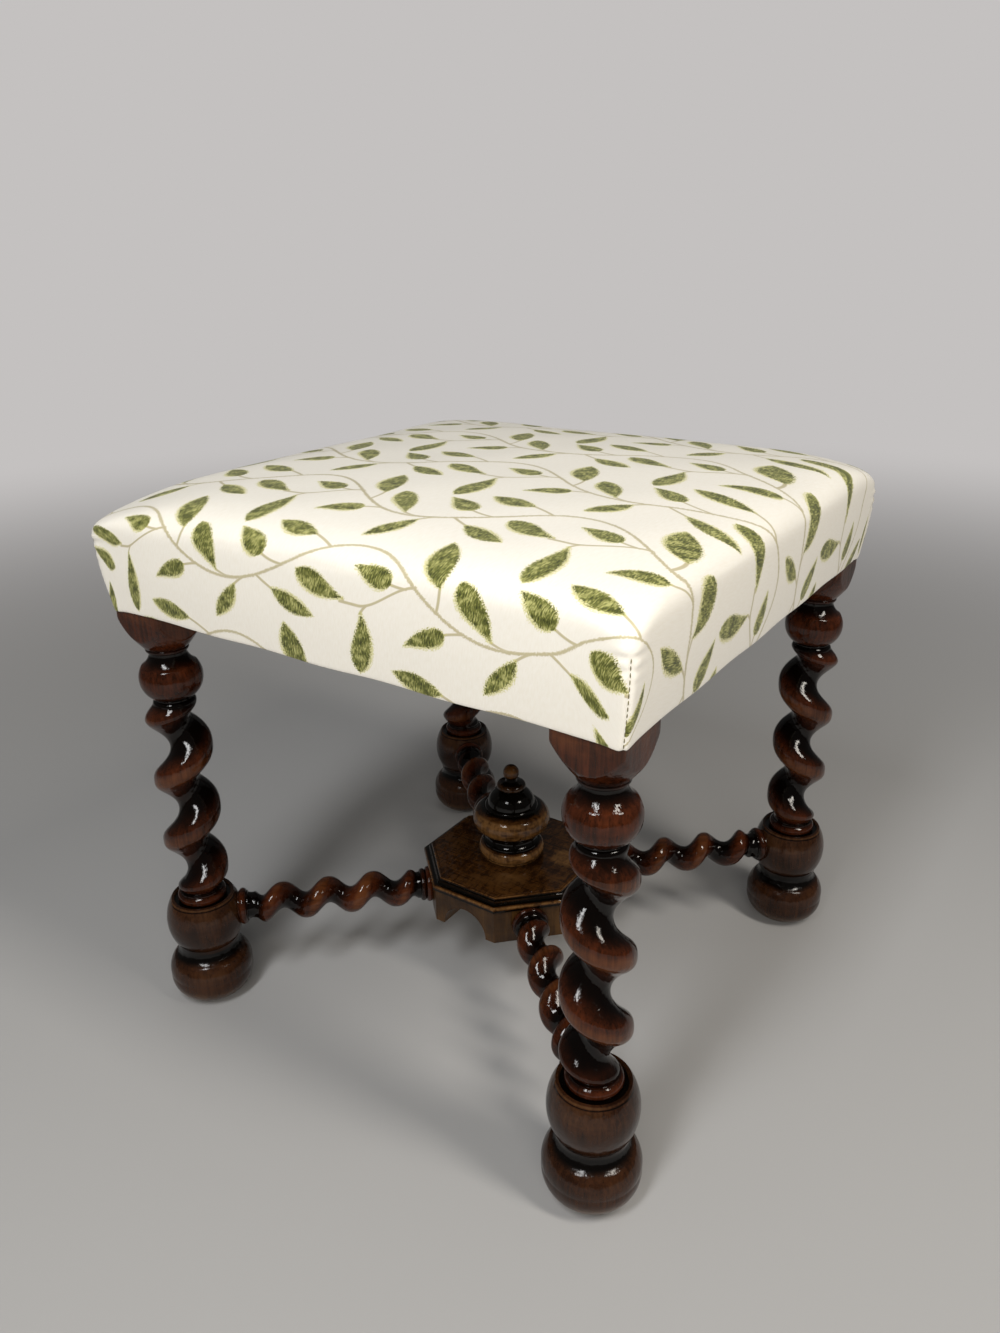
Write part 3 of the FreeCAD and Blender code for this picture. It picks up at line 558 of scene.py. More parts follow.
# Heights on the board's edge, and how it is drawn: dark in the hollows as painted shade, and pale on the
# arrises as wear and painted highlight.
BEAD_SHADE_AND_HIGHLIGHT = ((107, 109, 110, 111.2, 112.6, 113.6, 115.8, 117.1, 118.7, 119.5),
         (-1.4, -1.2, 0.2, 1.3, 0.9, -1.6, -0.3, -1.6, 1.2, 0.0))
MOULDING_FROM = 79.0            # way from the middle
FINIAL_SHADE, FINIAL_SHADE_FADE = 36.0, 22.0    # painted shade round the finial's foot, and how slowly it ends
BARE_AT, BARE_REACH, BARE = (53.0, 19.0), 13.0, 1.4     # the rubbed place
board_outline = outline(
    (0, 107), (86.6, 107), (87.3, 107.7), (87.3, 110.1), (86.3, 112.5, 84.0, 113.5), (82.6, 113.6),
    (82.0, 114.3), (80.9, 116.3, 79.6, 117.1), (79.4, 117.9), (78.4, 119.2, 77.2, 119.5), (76.6, 118.9),
    (76.0, 119.5), (0, 119.5))
turns = (np.arange(9) + 0.5) * EIGHTH
corners = np.stack([np.cos(turns), np.sin(turns)], 1) / math.cos(EIGHTH / 2)
octagon = np.concatenate([np.linspace(a, b, SIDE_POINTS, endpoint=False) for a, b in zip(corners, corners[1:])])
around = len(octagon)
vertices = [(x * away, y * away, level) for away, level in board_outline for x, y in octagon]
board = made_piece("platform_board", vertices, rings_of_faces(len(board_outline), around), platform_wood)
mesh = board.data
cleaned(mesh, join=0.01 * MM, flat=0.005 * MM)
mesh.shade_smooth()
mesh.set_sharp_from_angle(angle=math.radians(24))
spots = spots_of(mesh)
store(mesh, "grain_at", spots[:, [1, 2, 0]] * MM, "FLOAT_VECTOR", "vector")
from_finial = np.hypot(spots[:, 0], spots[:, 1])
proud = np.where(from_finial > MOULDING_FROM, np.interp(spots[:, 2], *BEAD_SHADE_AND_HIGHLIGHT),
                 np.clip((from_finial - FINIAL_SHADE) / FINIAL_SHADE_FADE, -1, 0.45))
bare = np.exp(-(np.hypot(*(spots[:, :2] - BARE_AT).T) / BARE_REACH) ** 2)
store(mesh, "proud", proud + BARE * bare)
finish_piece(board, "polished_wood", "platform_top")
refinish(nodes["platform_block"], block_wood)

# %% [markdown]
# ## Hidden frame
# Four beech rails are tenoned into the leg blocks, with a screwed block in each corner. The cover
# hides them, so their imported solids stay. The rails are sawn and left bare, so they get a pale, dry
# surface with flecks drawn out along the wood, and the steel of screws and tacks gets faint spots.

# %% Finish the hidden frame
STEEL_SPOTS = 1.5 * MM


def bare_beech(name, flecks):
    """Sawn beech with its flecks drawn out along the rail."""
    material, tree, shader = new_material(name)
    at = add(tree, "ShaderNodeTexCoord").outputs["Object"]
    at = add(tree, VECTOR, at, tuple(1 / size for size in flecks), operation="MULTIPLY")
    fleck = add(tree, NOISE, named={"Vector": at, "Scale": 1.0, "Detail": 4.0})
    tone = add(tree, RANGE, fleck, 0.35, 0.65, 0.0, 1.0)
    wood = add(tree, MIX, named={0: tone, 6: linear("#a87c52"), 7: linear("#caa274")}, data_type="RGBA")
    fill(shader, {"Base Color": wood.outputs[2], "Roughness": 0.75})
    return material


def drawn_steel(name, dark, light, roughness):
    """Drawn steel with a spotted film on it."""
    material, tree, shader = new_material(name)
    at = add(tree, "ShaderNodeTexCoord").outputs["Object"]
    film = add(tree, NOISE, named={"Vector": at, "Scale": 1 / STEEL_SPOTS, "Detail": 3.0})
    metal = add(tree, MIX, named={0: film, 6: linear(dark), 7: linear(light)}, data_type="RGBA")
    fill(shader, {"Base Color": metal.outputs[2], "Metallic": 1.0, "Roughness": roughness})
    return material


ALONG, ACROSS = 40 * MM, 3 * MM
beech_x = bare_beech("bare_beech_along_x", (ALONG, ACROSS, ACROSS))
beech_y = bare_beech("bare_beech_along_y", (ACROSS, ALONG, ACROSS))
screw_steel = drawn_steel("zinc_screw_steel", "#8f9194", "#c2c4c6", 0.35)
tack_steel = drawn_steel("blued_tack_steel", "#23262e", "#3d4350", 0.40)
for name, node in nodes.items():
    if name.startswith(("rail_", "corner_block_")):
        wood = beech_y if name in ("rail_left", "rail_right") else beech_x
        refinish(node, screw_steel if "screws" in name else wood)
print("hidden frame finished")

# %% [markdown]
# ## Webbing, hessian and bottom cloth
# Three jute strips each way are tacked over the rails, under and over each other. A hessian sheet
# lies on them and carries the stuffing, and a thin black cloth closes the seat from below. All are
# plain weaves, so one material with a thread spacing serves for them.

# %% Cloths under the seat
SLUBS = 9 * MM


def woven(name, light, dark, thread):
    """Plain weave of light and dark threads at a spacing, with slubs."""
    material, tree, shader = new_material(name)
    at = add(tree, "ShaderNodeTexCoord").outputs["Object"]
    split = add(tree, "ShaderNodeSeparateXYZ", at)
    waves = [add(tree, MATH, split.outputs[axis], math.pi / thread, operation="MULTIPLY") for axis in "XY"]
    waves = [add(tree, MATH, wave, operation="SINE") for wave in waves]
    weave = add(tree, MATH, *waves, operation="MULTIPLY")
    slub = add(tree, NOISE, named={"Vector": at, "Scale": 1 / SLUBS, "Detail": 3.0})
    tone = add(tree, MATH, weave, 0.35, slub, operation="MULTIPLY_ADD", use_clamp=True)
    cloth = add(tree, MIX, named={0: tone, 6: linear(dark), 7: linear(light)}, data_type="RGBA")
    bump = add(tree, "ShaderNodeBump", named={"Strength": 0.5, "Distance": 0.3 * MM, "Height": weave})
    fill(shader, {"Base Color": cloth.outputs[2], "Normal": bump, "Roughness": 0.9, "Sheen Weight": 0.1})
    return material


jute = woven("woven_jute_webbing", "#b59b6f", "#6f5a38", 1.6 * MM)
hessian_weave = woven("brown_hessian", "#a5845a", "#5f4a2e", 2.4 * MM)
lining = woven("black_bottom_cloth", "#2b2a2c", "#0f0f11", 1.5 * MM)
print("weaves:", jute.name, hessian_weave.name, lining.name)

# %% Webbing
RAIL_TOP, FRAME_HALF = 465.0, 248.25
WEB_WIDTH, WEB_THICK, WEB_PITCH, WEB_FOLD = 50.0, 1.5, 105.0, 20.0
WEB_END = FRAME_HALF - 3.0
WEB_GAP = 0.1                   # between strips that cross
WEB_EASE = (9.0, 8.0)           # the lift starts and ends this far outside a crossing
BEND_FROM, BEND_TIP, RUN_FROM = 1.5, 0.4, 6.0          # from the strip's end: its fold and its straight run
WEBS = {"front": (-1, False, "x"), "middle": (0, True, "x"), "back": (1, False, "x"),
        "left": (-1, True, "y"), "centre": (0, False, "y"), "right": (1, True, "y")}


def smoothed(share):
    """A share from 0 to 1 with soft ends."""
    share = np.clip(share, 0, 1)
    return share * share * (3 - 2 * share)


def web_path(over):
    """The strip's middle line: folded ends, and a lift over every second crossing."""
    low, fold = RAIL_TOP + WEB_THICK / 2, RAIL_TOP + 1.5 * WEB_THICK
    half = [(WEB_END - WEB_FOLD, fold), (WEB_END - BEND_FROM, fold), (WEB_END - BEND_TIP, (low + fold) / 2),
            (WEB_END - BEND_FROM, low)]
    middle = np.linspace(WEB_END - RUN_FROM, -WEB_END + RUN_FROM, 81)
    lift = np.zeros(len(middle))
    for crossing in (-1, 0, 1):
        if (crossing == 0) != over:
            near = WEB_WIDTH / 2 + WEB_EASE[0] - abs(middle - crossing * WEB_PITCH)
            lift = np.maximum(lift, smoothed(near / WEB_EASE[1]))
    run = [(x, low + (WEB_THICK + WEB_GAP) * up) for x, up in zip(middle, lift)]
    return np.array(half + run + [(-x, z) for x, z in reversed(half)])


for name, (place, over, way) in WEBS.items():
    path = web_path(over)
    slope = np.gradient(path, axis=0)
    slope /= np.linalg.norm(slope, axis=1)[:, None]
    offset = np.stack([-slope[:, 1], slope[:, 0]], 1) * (WEB_THICK - WEB_GAP) / 2
    vertices = []
    for middle, up in zip(path, offset):
        for y, side in ((-1, -1), (1, -1), (1, 1), (-1, 1)):
            x, z = middle + side * up
            y = y * WEB_WIDTH / 2 + place * WEB_PITCH
            vertices.append((x, y, z) if way == "x" else (y, x, z))
    faces = rings_of_faces(len(path), 4) + [(0, 1, 2, 3), tuple(len(vertices) - k for k in (1, 2, 3, 4))]
    web = made_piece(f"web_strip_{name}", vertices, faces, jute)
    finish_piece(web, "webbing", f"webbing_{name}")

# %% Hessian and bottom cloth
HESSIAN_HALF, HESSIAN_LOW, HESSIAN_HIGH = 246.25, 469.0, 469.8
CLOTH_HALF, CLOTH_LOW, CLOTH_HIGH, CLOTH_CUT = 233.25, 412.4, 413.2, 191.75
CLOTH_SAG = 1.5
CLOTH_FLAP = 212.0              # half way over the flaps between the cut corners


def flat_cloth(name, stops, inside, low, high, sag, material):
    """A thin closed cloth on a grid of stops, without the cells outside its cut, sagging in the middle."""
    count = len(stops)
    droop = 1 - (np.array(stops) / max(stops)) ** 2
    vertices = [(x, y, level - sag * droop[i] * droop[j]) for level in (low, high)
                for i, x in enumerate(stops) for j, y in enumerate(stops)]
    middles = [(a + b) / 2 for a, b in zip(stops, stops[1:])]
    layer = count * count
    faces, edges = [], {}
    for i, x in enumerate(middles):
        for j, y in enumerate(middles):
            if inside(x, y):
                ring = [i * count + j, (i + 1) * count + j, (i + 1) * count + j + 1, i * count + j + 1]
                faces += [tuple(reversed(ring)), tuple(c + layer for c in ring)]
                for edge in zip(ring, ring[1:] + ring[:1]):
                    edges.setdefault(tuple(sorted(edge)), []).append(edge)
    faces += [(a, b, b + layer, a + layer) for uses in edges.values() if len(uses) == 1 for a, b in uses]
    piece = made_piece(name, vertices, faces, material)
    cleaned(piece.data, loose=True)
    return piece


stops = list(np.linspace(-HESSIAN_HALF, HESSIAN_HALF, 41))
hessian = flat_cloth("hessian_sheet", stops, lambda x, y: True, HESSIAN_LOW, HESSIAN_HIGH, 0.0, hessian_weave)
finish_piece(hessian, "hessian", "hessian_cloth")

stops = [*np.linspace(-CLOTH_CUT, CLOTH_CUT, 37)]
stops = [-CLOTH_HALF, -CLOTH_FLAP] + stops + [CLOTH_FLAP, CLOTH_HALF]
cloth = flat_cloth("black_bottom_cloth", stops, lambda x, y: min(abs(x), abs(y)) < CLOTH_CUT,
                   CLOTH_LOW, CLOTH_HIGH, CLOTH_SAG, lining)
finish_piece(cloth, "lining_fabric", "bottom_cloth")

# %% [markdown]
# ## Tacks
# Three rows of cut tacks hold the webbing, the cover's hem and the bottom cloth. A tack is a tapered
# shank under a low cone head. Geometry Nodes set one tack on every point of a row, so that a row is
# only a list of places.

# %% Tacks
HEM_BOTTOM = 412.0
COVER_TACK_AT, CLOTH_TACK_AT = FRAME_HALF - 7.0, (FRAME_HALF - 25 + CLOTH_HALF) / 2
COVER_ROW, CLOTH_ROW = 172.75, 158.75       # half the length of a row
WEB_TACK_GAP = 16.0

tacking, given = tree_with("row_of_tacks", {
    "Geometry": "Places", "Float": "Head Radius, Head Height, Shank Radius, Shank Length, Turn",
    "Material": "Finish"})
top = add(tacking, MATH, given["Head Radius"], 0.7, operation="MULTIPLY")
head = add(tacking, "GeometryNodeMeshCone", named={
    "Vertices": 10, "Radius Top": given["Head Radius"], "Radius Bottom": top, "Depth": given["Head Height"]})
down = add(tacking, MATH, given["Head Height"], -1.0, operation="MULTIPLY")
down = add(tacking, "ShaderNodeCombineXYZ", 0.0, 0.0, down)
head = add(tacking, "GeometryNodeTransform", head, named={"Translation": down})
shank = add(tacking, "GeometryNodeMeshCone", named={
    "Vertices": 6, "Radius Top": 0.2 * MM, "Radius Bottom": given["Shank Radius"],
    "Depth": given["Shank Length"]})
tack = add(tacking, "GeometryNodeJoinGeometry")
for part in (head, shank):
    fill(tack, {0: part})
tip = add(tacking, "ShaderNodeCombineXYZ", given["Turn"], 0.0, 0.0)
row = add(tacking, "GeometryNodeInstanceOnPoints", given["Places"], named={"Instance": tack, "Rotation": tip})
end_tree(tacking, row, given["Finish"], smooth=False)

rows = {"cover": [(x, -COVER_TACK_AT, HEM_BOTTOM) for x in np.linspace(-COVER_ROW, COVER_ROW, 9)],
        "bottom_cloth": [(x, -CLOTH_TACK_AT, CLOTH_LOW) for x in np.linspace(-CLOTH_ROW, CLOTH_ROW, 8)],
        "webbing": [(place * WEB_PITCH + k * WEB_TACK_GAP, -(WEB_END - WEB_FOLD / 2), RAIL_TOP + 2 * WEB_THICK)
                    for place in (-1, 0, 1) for k in (-1, 0, 1)]}
for name, front in rows.items():
    places = list(front)
    for quarter in range(3):
        places += [(-y, x, z) for x, y, z in places[-len(front):]]
    points = bpy.data.meshes.new("tack_places")
    points.from_pydata(np.array(places) * MM, [], [])
    tacks = grow(f"{name}_tack_row", points, tacking, Head_Radius=3 * MM, Head_Height=1 * MM,
                 Shank_Radius=0.8 * MM, Shank_Length=11 * MM, Finish=tack_steel,
                 Turn=math.pi if name == "webbing" else 0.0)
    finish_piece(tacks, "blued_tacks", f"{name}_tacks")

# %% [markdown]
# ## Seat form
# The stuffed seat is a square with slightly bowed sides, a tight round edge and a low crown. Every
# level of it is a rounded square, so the seat is a stack of them, and one section from the middle of
# the top over the edge to the hem gives their sizes. The same stack makes the stuffing and the cover.

# %% Stack of rounded squares
SEAT_HALF, SEAT_WIDEST, HEM_HALF = 256.5, 476.0, 249.6
EDGE_RISE, CROWN = 40.0, 9.0
EDGE_POWERS = (6.5, 4.5)        # how tightly the section turns over the edge
HEM_CORNER, SEAT_CORNER, CORNER_EASE = 4.0, 9.0, 15.0
COVER_THICK = 1.2
QUARTER = 40                    # points along a quarter of a square
CORNER_CROWDING = 0.85          # share of the spacing that closes up towards the corners

u = 1 - (1 - np.linspace(0, 1, 1500)) ** 4
edge = EDGE_RISE * (1 - u ** EDGE_POWERS[0]) ** (1 / EDGE_POWERS[1])
over_top = np.stack([SEAT_HALF * u, SEAT_WIDEST + edge + CROWN * (1 - u ** 2)], 1)
z = np.linspace(SEAT_WIDEST, HEM_BOTTOM + COVER_THICK, 600)[1:]
rise = (z - HEM_BOTTOM) / (SEAT_WIDEST - HEM_BOTTOM)
down_side = np.stack([HEM_HALF + (SEAT_HALF - HEM_HALF) * np.sin(rise * math.pi / 2), z], 1)
section = np.concatenate([over_top, down_side])
run = np.concatenate([[0], np.cumsum(np.linalg.norm(np.diff(section, axis=0), axis=1))])
edge_run = run[len(over_top) - 1]
t = np.linspace(-1, 1, QUARTER + 1)
spread = (1 - CORNER_CROWDING) * t + CORNER_CROWDING * (3 * t - t ** 3) / 2


def section_at(place):
    """Half width and level of the seat at a way along its section."""
    return np.interp(place, run, section[:, 0]), np.interp(place, run, section[:, 1])


def corner_radius(half, level):
    """Corner of the rounded square at a level: tight at the hem, opening out over the top."""
    if level < SEAT_WIDEST:
        return HEM_CORNER + (SEAT_CORNER - HEM_CORNER) * (level - HEM_BOTTOM) / (SEAT_WIDEST - HEM_BOTTOM)
    return min(SEAT_CORNER + CORNER_EASE * math.sqrt(max(SEAT_HALF - half, 0)), 0.7 * half)


def quarter_path(half, corner):
    """Points (x, y) of the front quarter of a rounded square, and each one's way from its middle."""
    straight = half - corner
    way = spread * (straight + corner * math.pi / 4)
    bend = np.maximum(abs(way) - straight, 0) / max(corner, 1e-6)
    x = np.where(bend > 0, straight + corner * np.sin(bend), abs(way)) * np.sign(way)
    return np.stack([x, -straight - corner * np.cos(bend)], 1), way


def stacked(levels):
    """Vertices and faces of a stack of rounded squares given as (half, corner, level)."""
    vertices = []
    for half, corner, level in levels:
        front = quarter_path(half, corner)[0][:-1]
        for quarter in range(4):
            vertices += [(x, y, level) for x, y in front]
            front = np.stack([-front[:, 1], front[:, 0]], 1)
    return vertices, rings_of_faces(len(levels), 4 * QUARTER)


print("from the middle of the seat to its hem is", round(run[-1]), "mm")

# %% Settled corners
SETTLED = {(-1, -1): (-8.0, 80.0, 3.0), (-1, 1): (5.0, 70.0, 2.0)}     # corner: rise, reach, push outwards
SETTLES_FROM, SETTLES_OVER = 472.0, 35.0    # level, and the height over which it sets in


def set_spots(mesh, spots):
    """Move the mesh's points to places in millimetres."""
    mesh.vertices.foreach_set("co", (spots * MM).ravel())
    mesh.update()


def settle(mesh):
    """Lower and push out the seat's worn corner, and raise the one that still stands up."""
    spots = spots_of(mesh)
    for (sx, sy), (lift, reach, push) in SETTLED.items():
        away = np.hypot(spots[:, 0] - sx * SEAT_HALF, spots[:, 1] - sy * SEAT_HALF)
        share = np.exp(-(away / reach) ** 2) * np.clip((spots[:, 2] - SETTLES_FROM) / SETTLES_OVER, 0, 1)
        spots += share[:, None] * (push * sx, push * sy, lift)
    set_spots(mesh, spots)


print("settled corners:", len(SETTLED))

# %% [markdown]
# ## Stuffing
# Curled hair is piled on the hessian and drawn down a little over the outside of the rails. It can't
# be seen, but it carries the cover, so it is a closed, padded piece under it.

# %% Stuffing
STUFFING_START, STUFFING_CORNER = 426.0, 3.0
HEM_ROOM = 13.0                 # the stuffing ends this far above the hem
UNDER_COVER = COVER_THICK + 0.3
JOIN = 0.02 * MM
inside_half = FRAME_HALF + 0.2
stuffing_levels = [(0, 0, HESSIAN_HIGH), (inside_half, STUFFING_CORNER, HESSIAN_HIGH),
                   (inside_half, STUFFING_CORNER, STUFFING_START)]
over_edge = edge_run - np.array([5, 10, 16, 24, 34, 60, 120, 200])
for place in np.concatenate([np.linspace(run[-1] - HEM_ROOM, edge_run, 8), over_edge]):
    half, level = section_at(place)
    half, level = half - UNDER_COVER, level - (UNDER_COVER if place < edge_run else 0)
    stuffing_levels.append((half, corner_radius(half + COVER_THICK, level), level))
stuffing_levels.append((0, 0, SEAT_WIDEST + EDGE_RISE + CROWN - UNDER_COVER))
hair = woven("curled_hair_stuffing", "#7b6a55", "#352a20", 3 * MM)
stuffing = made_piece("hair_stuffing", *stacked(stuffing_levels), hair)
cleaned(stuffing.data, join=JOIN)
stuffing.data.shade_smooth()
settle(stuffing.data)
finish_piece(stuffing, "stuffing", "seat_padding")

# %% [markdown]
# ## Cover
# One square of satin is drawn over the stuffing, cut out at the corners, sewn down each corner and
# tacked under the rails. So the pattern runs on without a break from the top down all four sides,
# and stops at the corner seams. The map for the pattern is therefore the cloth laid flat again, in
# metres: over the top it is the plan, and down a side it keeps the way along the side and the way
# down it. The cloth wasn't pulled down evenly, so each side has its own pull, downwards and askew,
# with a slope along the side. It grows from the top edge to the hem and fades towards the seams.

# %% Cover
HEM_UNDER = 14.0
stops = np.concatenate([np.arange(0, 190, 10), np.arange(190, edge_run, 5), np.linspace(edge_run, run[-1], 15)])
cover_levels = [(*section_at(s), s) for s in stops]
for inward, drop in ((0.5, 0.8), (1.6, 1.2), (6, 1.2), (HEM_HALF - FRAME_HALF + HEM_UNDER, 1.2)):
    cover_levels.append((HEM_HALF - inward, HEM_BOTTOM + COVER_THICK - drop, run[-1] + inward))
cover_levels = [(half, corner_radius(half, level), level, s) for half, level, s in cover_levels]
vertices, faces = stacked([c[:3] for c in cover_levels])
cover = made_piece("satin_seat_cover", vertices, faces, lining)         # its satin is made further on
print("cover cloth:", len(vertices), "points in", len(cover_levels), "squares")

# %% Lay the cover flat for its pattern
SIDE_PULLS = [(230, 346, 20, 0, 24, 0), (190, 290, -27, -0.09, -8, 0.07),      # front and right: from, to,
              (230, 346, 0, 0, 0, 0), (230, 346, 0, 0, 0, 0)]                  # down, slope, askew, slope
SEAM_REACH = 70.0               # near a seam the map stays the plan for longer
HANG_FROM, HANG_OVER = 60.0, 55.0           # before the edge, the plan turns into the hanging side
SEAM_LATER, SEAM_WIDER = 68.0, 20.0

around = 4 * QUARTER
flat_sides = []
for pull_from, pull_to, down, down_slope, askew, askew_slope in SIDE_PULLS:
    seam_away, flat_side = [], []
    for half, corner, level, s in cover_levels:
        spots, way = quarter_path(half, corner)
        near_seam = smoothed(1 - (way[-1] - abs(way)) / SEAM_REACH)
        pull = np.clip((s - pull_from) / (pull_to - pull_from), 0, 1) * (1 - near_seam)
        pulled = s + pull * (down + down_slope * way)
        over = s - edge_run + HANG_FROM - SEAM_LATER * near_seam
        over = smoothed(over / (HANG_OVER + SEAM_WIDER * near_seam))[:, None]
        plan = spots * (pulled / half if half else 0 * way)[:, None]
        hanging = np.stack([way + pull * (askew + askew_slope * way), -pulled], 1)
        flat_side.append(plan * (1 - over) + hanging * over)
        seam_away.append(np.tile(way[-1] - abs(way[:-1]), 4))
    flat_sides.append(flat_side)
mesh = cover.data
loop_vertex = read(mesh.loops, "vertex_index", len(mesh.loops)).astype(int)
quarter = np.repeat(np.arange(len(faces)) % around // QUARTER, 4)
flat = np.array(flat_sides)[quarter, loop_vertex // around, (loop_vertex % around - quarter * QUARTER) % around]
cosines, sines = np.cos(quarter * math.pi / 2), np.sin(quarter * math.pi / 2)
flat = np.stack([flat[:, 0] * cosines - flat[:, 1] * sines, flat[:, 0] * sines + flat[:, 1] * cosines], 1)
mesh.uv_layers.new(name="cloth_flat").data.foreach_set("uv", (flat * MM).ravel())
store(mesh, "seam_away", seam_away)
cleaned(mesh, join=JOIN)
mesh.shade_smooth()
print("flat cloth is", round(abs(flat).max() * 2), "mm across")

# %% [markdown]
# The seat isn't quite regular. Over the years the stuffing has settled at the front left corner and
# stands up at the back left one. Each corner seam lies in a shallow groove with short puckers where
# the cloth was eased in, and the hem waves a little between its tacks. The changes are measured from
# the corners and seams, so they stay where the cloth is worked.

# %% Settle the cover
SEAM_TOP = 474.0
GROOVE, GROOVE_WIDE = 1.3, 1.8
PUCKER, PUCKER_PITCH, PUCKER_REACH = 0.9, 9.0, 14.0
SOFT_ABOVE = 497.0              # the top is uneven, the sides only a quarter as much
HEM_TOP, HEM_WAVE, CORNER_DROP = 424.0, 0.6, 2.0

settle(mesh)
cover.modifiers.new("smoother", "SUBSURF").levels = 1
mesh = applied(cover).data
spots = spots_of(mesh)
normals = read(mesh.vertices, "normal", len(spots), 3)
away = read(mesh.attributes["seam_away"].data, "value", len(spots))
x, y, level = spots.T
groove = -GROOVE * np.exp(-(away / GROOVE_WIDE) ** 2) * np.clip((SEAM_TOP + 6 - level) / 10, 0, 1)
eased = np.exp(-((level - SEAM_TOP) / PUCKER_REACH) ** 2 - (away / PUCKER_REACH) ** 2) * np.clip(away / 4, 0, 1)
puckers = PUCKER * eased * np.sin(level * 2 * math.pi / PUCKER_PITCH + np.sign(x * y) * 0.8)
uneven = 0.5 * np.sin(x / 41 + y / 67) * np.sin(y / 53 - x / 90) + 0.3 * np.sin(x / 17 + 1) * np.sin(y / 23)
spots += normals * (groove + puckers + uneven * (0.25 + (level > SOFT_ABOVE)))[:, None]
side_way = np.where(abs(x) < abs(y), x, y)
waves = HEM_WAVE * np.sin(side_way / 19 + y / 200) - CORNER_DROP * np.exp(-(away / 12) ** 2)
spots[:, 2] += np.clip((HEM_TOP - level) / 10, 0, 1) * waves
set_spots(mesh, spots)
sewn = (away < 0.05) & (level > HEM_BOTTOM + 1.5) & (level < SEAM_TOP)
seam_points = []
for sx, sy in CORNERS.values():
    line = np.flatnonzero(sewn & (np.sign(x) == sx) & (np.sign(y) == sy))
    line = line[np.argsort(level[line])]
    seam_points.append(spots[line] + normals[line] * 0.25)
backing = cover.modifiers.new("cloth_thickness", "SOLIDIFY")
backing.thickness, backing.offset = 1.0 * MM, -1
applied(cover)
finish_piece(cover, "cover_fabric", "seat_cover")

# %% [markdown]
# ## Satin with trailing leaves
# The cover is a woven satin: a plain ivory ground with a trailing stem and leaves floated on it in
# green and beige threads. Such a figure repeats on a slanted grid, so one stem, one side branch and
# ten leaves are enough. The stem is a wave along each row. A leaf is a shape between two curves, with
# a bent middle line, a pale lime edge, and a stalk that bows from its root to the stem. Its edges are
# stippled, because a float starts and ends at single threads. One node group draws a leaf and repeats
# it by taking every place of the cloth back to the nearest grid point.

# %% Leaf group
REPEAT_A, REPEAT_B = np.array([256.4, -9.3]) * MM, np.array([116.1, 111.5]) * MM
FIGURE_AT = np.array([-84.0, -298.0]) * MM         # a low point of the stem, on the front of the seat
repeat = float(np.linalg.norm(REPEAT_A))
along_row = REPEAT_A / repeat
up_row = np.array([-along_row[1], along_row[0]])
grid_a, grid_b = np.linalg.inv(np.stack([REPEAT_A, REPEAT_B], 1))

leaf_tree, given = tree_with(
    "floated_leaf", {"Vector": "Cloth, Middle, Along, Root, Stalk, Sag",
                     "Float": "Half Length, Half Width, Tip, Base, Bend, Curl, Ragged"},
    "ShaderNodeTree", {"Float": "Leaf, Edge, Stalk"})
away = add(leaf_tree, VECTOR, given["Cloth"], given["Middle"], operation="SUBTRACT")
parts = []
for step, across in ((REPEAT_A, grid_a), (REPEAT_B, grid_b)):
    share = add(leaf_tree, VECTOR, away, (*across, 0), operation="DOT_PRODUCT").outputs["Value"]
    whole = add(leaf_tree, MATH, share, operation="ROUND")
    share = add(leaf_tree, MATH, share, whole, operation="SUBTRACT")
    parts.append(add(leaf_tree, VECTOR, (*step, 0), named={"Scale": share}, operation="SCALE"))
near = add(leaf_tree, VECTOR, *parts, operation="ADD")
side = add(leaf_tree, VECTOR, (0, 0, 1), given["Along"], operation="CROSS_PRODUCT")
x, y = (add(leaf_tree, VECTOR, near, axis, operation="DOT_PRODUCT").outputs["Value"]
        for axis in (given["Along"], side))
way = add(leaf_tree, MATH, x, given["Half Length"], operation="DIVIDE")
bent = add(leaf_tree, MATH, way, way, operation="MULTIPLY")
bent = add(leaf_tree, MATH, bent, given["Bend"], operation="MULTIPLY")
curl = add(leaf_tree, MATH, way, add(leaf_tree, MATH, way, operation="ABSOLUTE"), operation="MULTIPLY")
bent = add(leaf_tree, MATH, curl, given["Curl"], bent, operation="MULTIPLY_ADD")
off = add(leaf_tree, MATH, y, bent, operation="SUBTRACT")
print("the leaf's own place takes", len(leaf_tree.nodes), "nodes")

# %% Leaf group: the leaf, its edge and its stalk
ONE_SIDED = 0.08                # the lime edge is wider on one side of a leaf

narrowing = []
for end, way_there in (("Tip", "SUBTRACT"), ("Base", "ADD")):
    share = add(leaf_tree, MATH, 1.0, way, operation=way_there)
    share = add(leaf_tree, MATH, share, 0.0, operation="MAXIMUM")
    narrowing.append(add(leaf_tree, MATH, share, given[end], operation="POWER"))
width = add(leaf_tree, MATH, *narrowing, operation="MULTIPLY")
width = add(leaf_tree, MATH, width, given["Half Width"], operation="MULTIPLY")
past = add(leaf_tree, MATH, x, operation="ABSOLUTE")
past = add(leaf_tree, MATH, past, given["Half Length"], operation="SUBTRACT")
past = add(leaf_tree, MATH, past, 0.0, operation="MAXIMUM")
outside = add(leaf_tree, MATH, add(leaf_tree, MATH, off, operation="ABSOLUTE"), past, operation="ADD")
inside = add(leaf_tree, MATH, width, outside, operation="SUBTRACT")
inside = add(leaf_tree, MATH, inside, given["Ragged"], operation="ADD")
leaf = add(leaf_tree, RANGE, inside, -0.2 * MM, 0.3 * MM, 0.0, 1.0)
edge = add(leaf_tree, MATH, off, ONE_SIDED, inside, operation="MULTIPLY_ADD")
edge = add(leaf_tree, RANGE, edge, -2.3 * MM, -0.9 * MM, 0.0, 1.0)

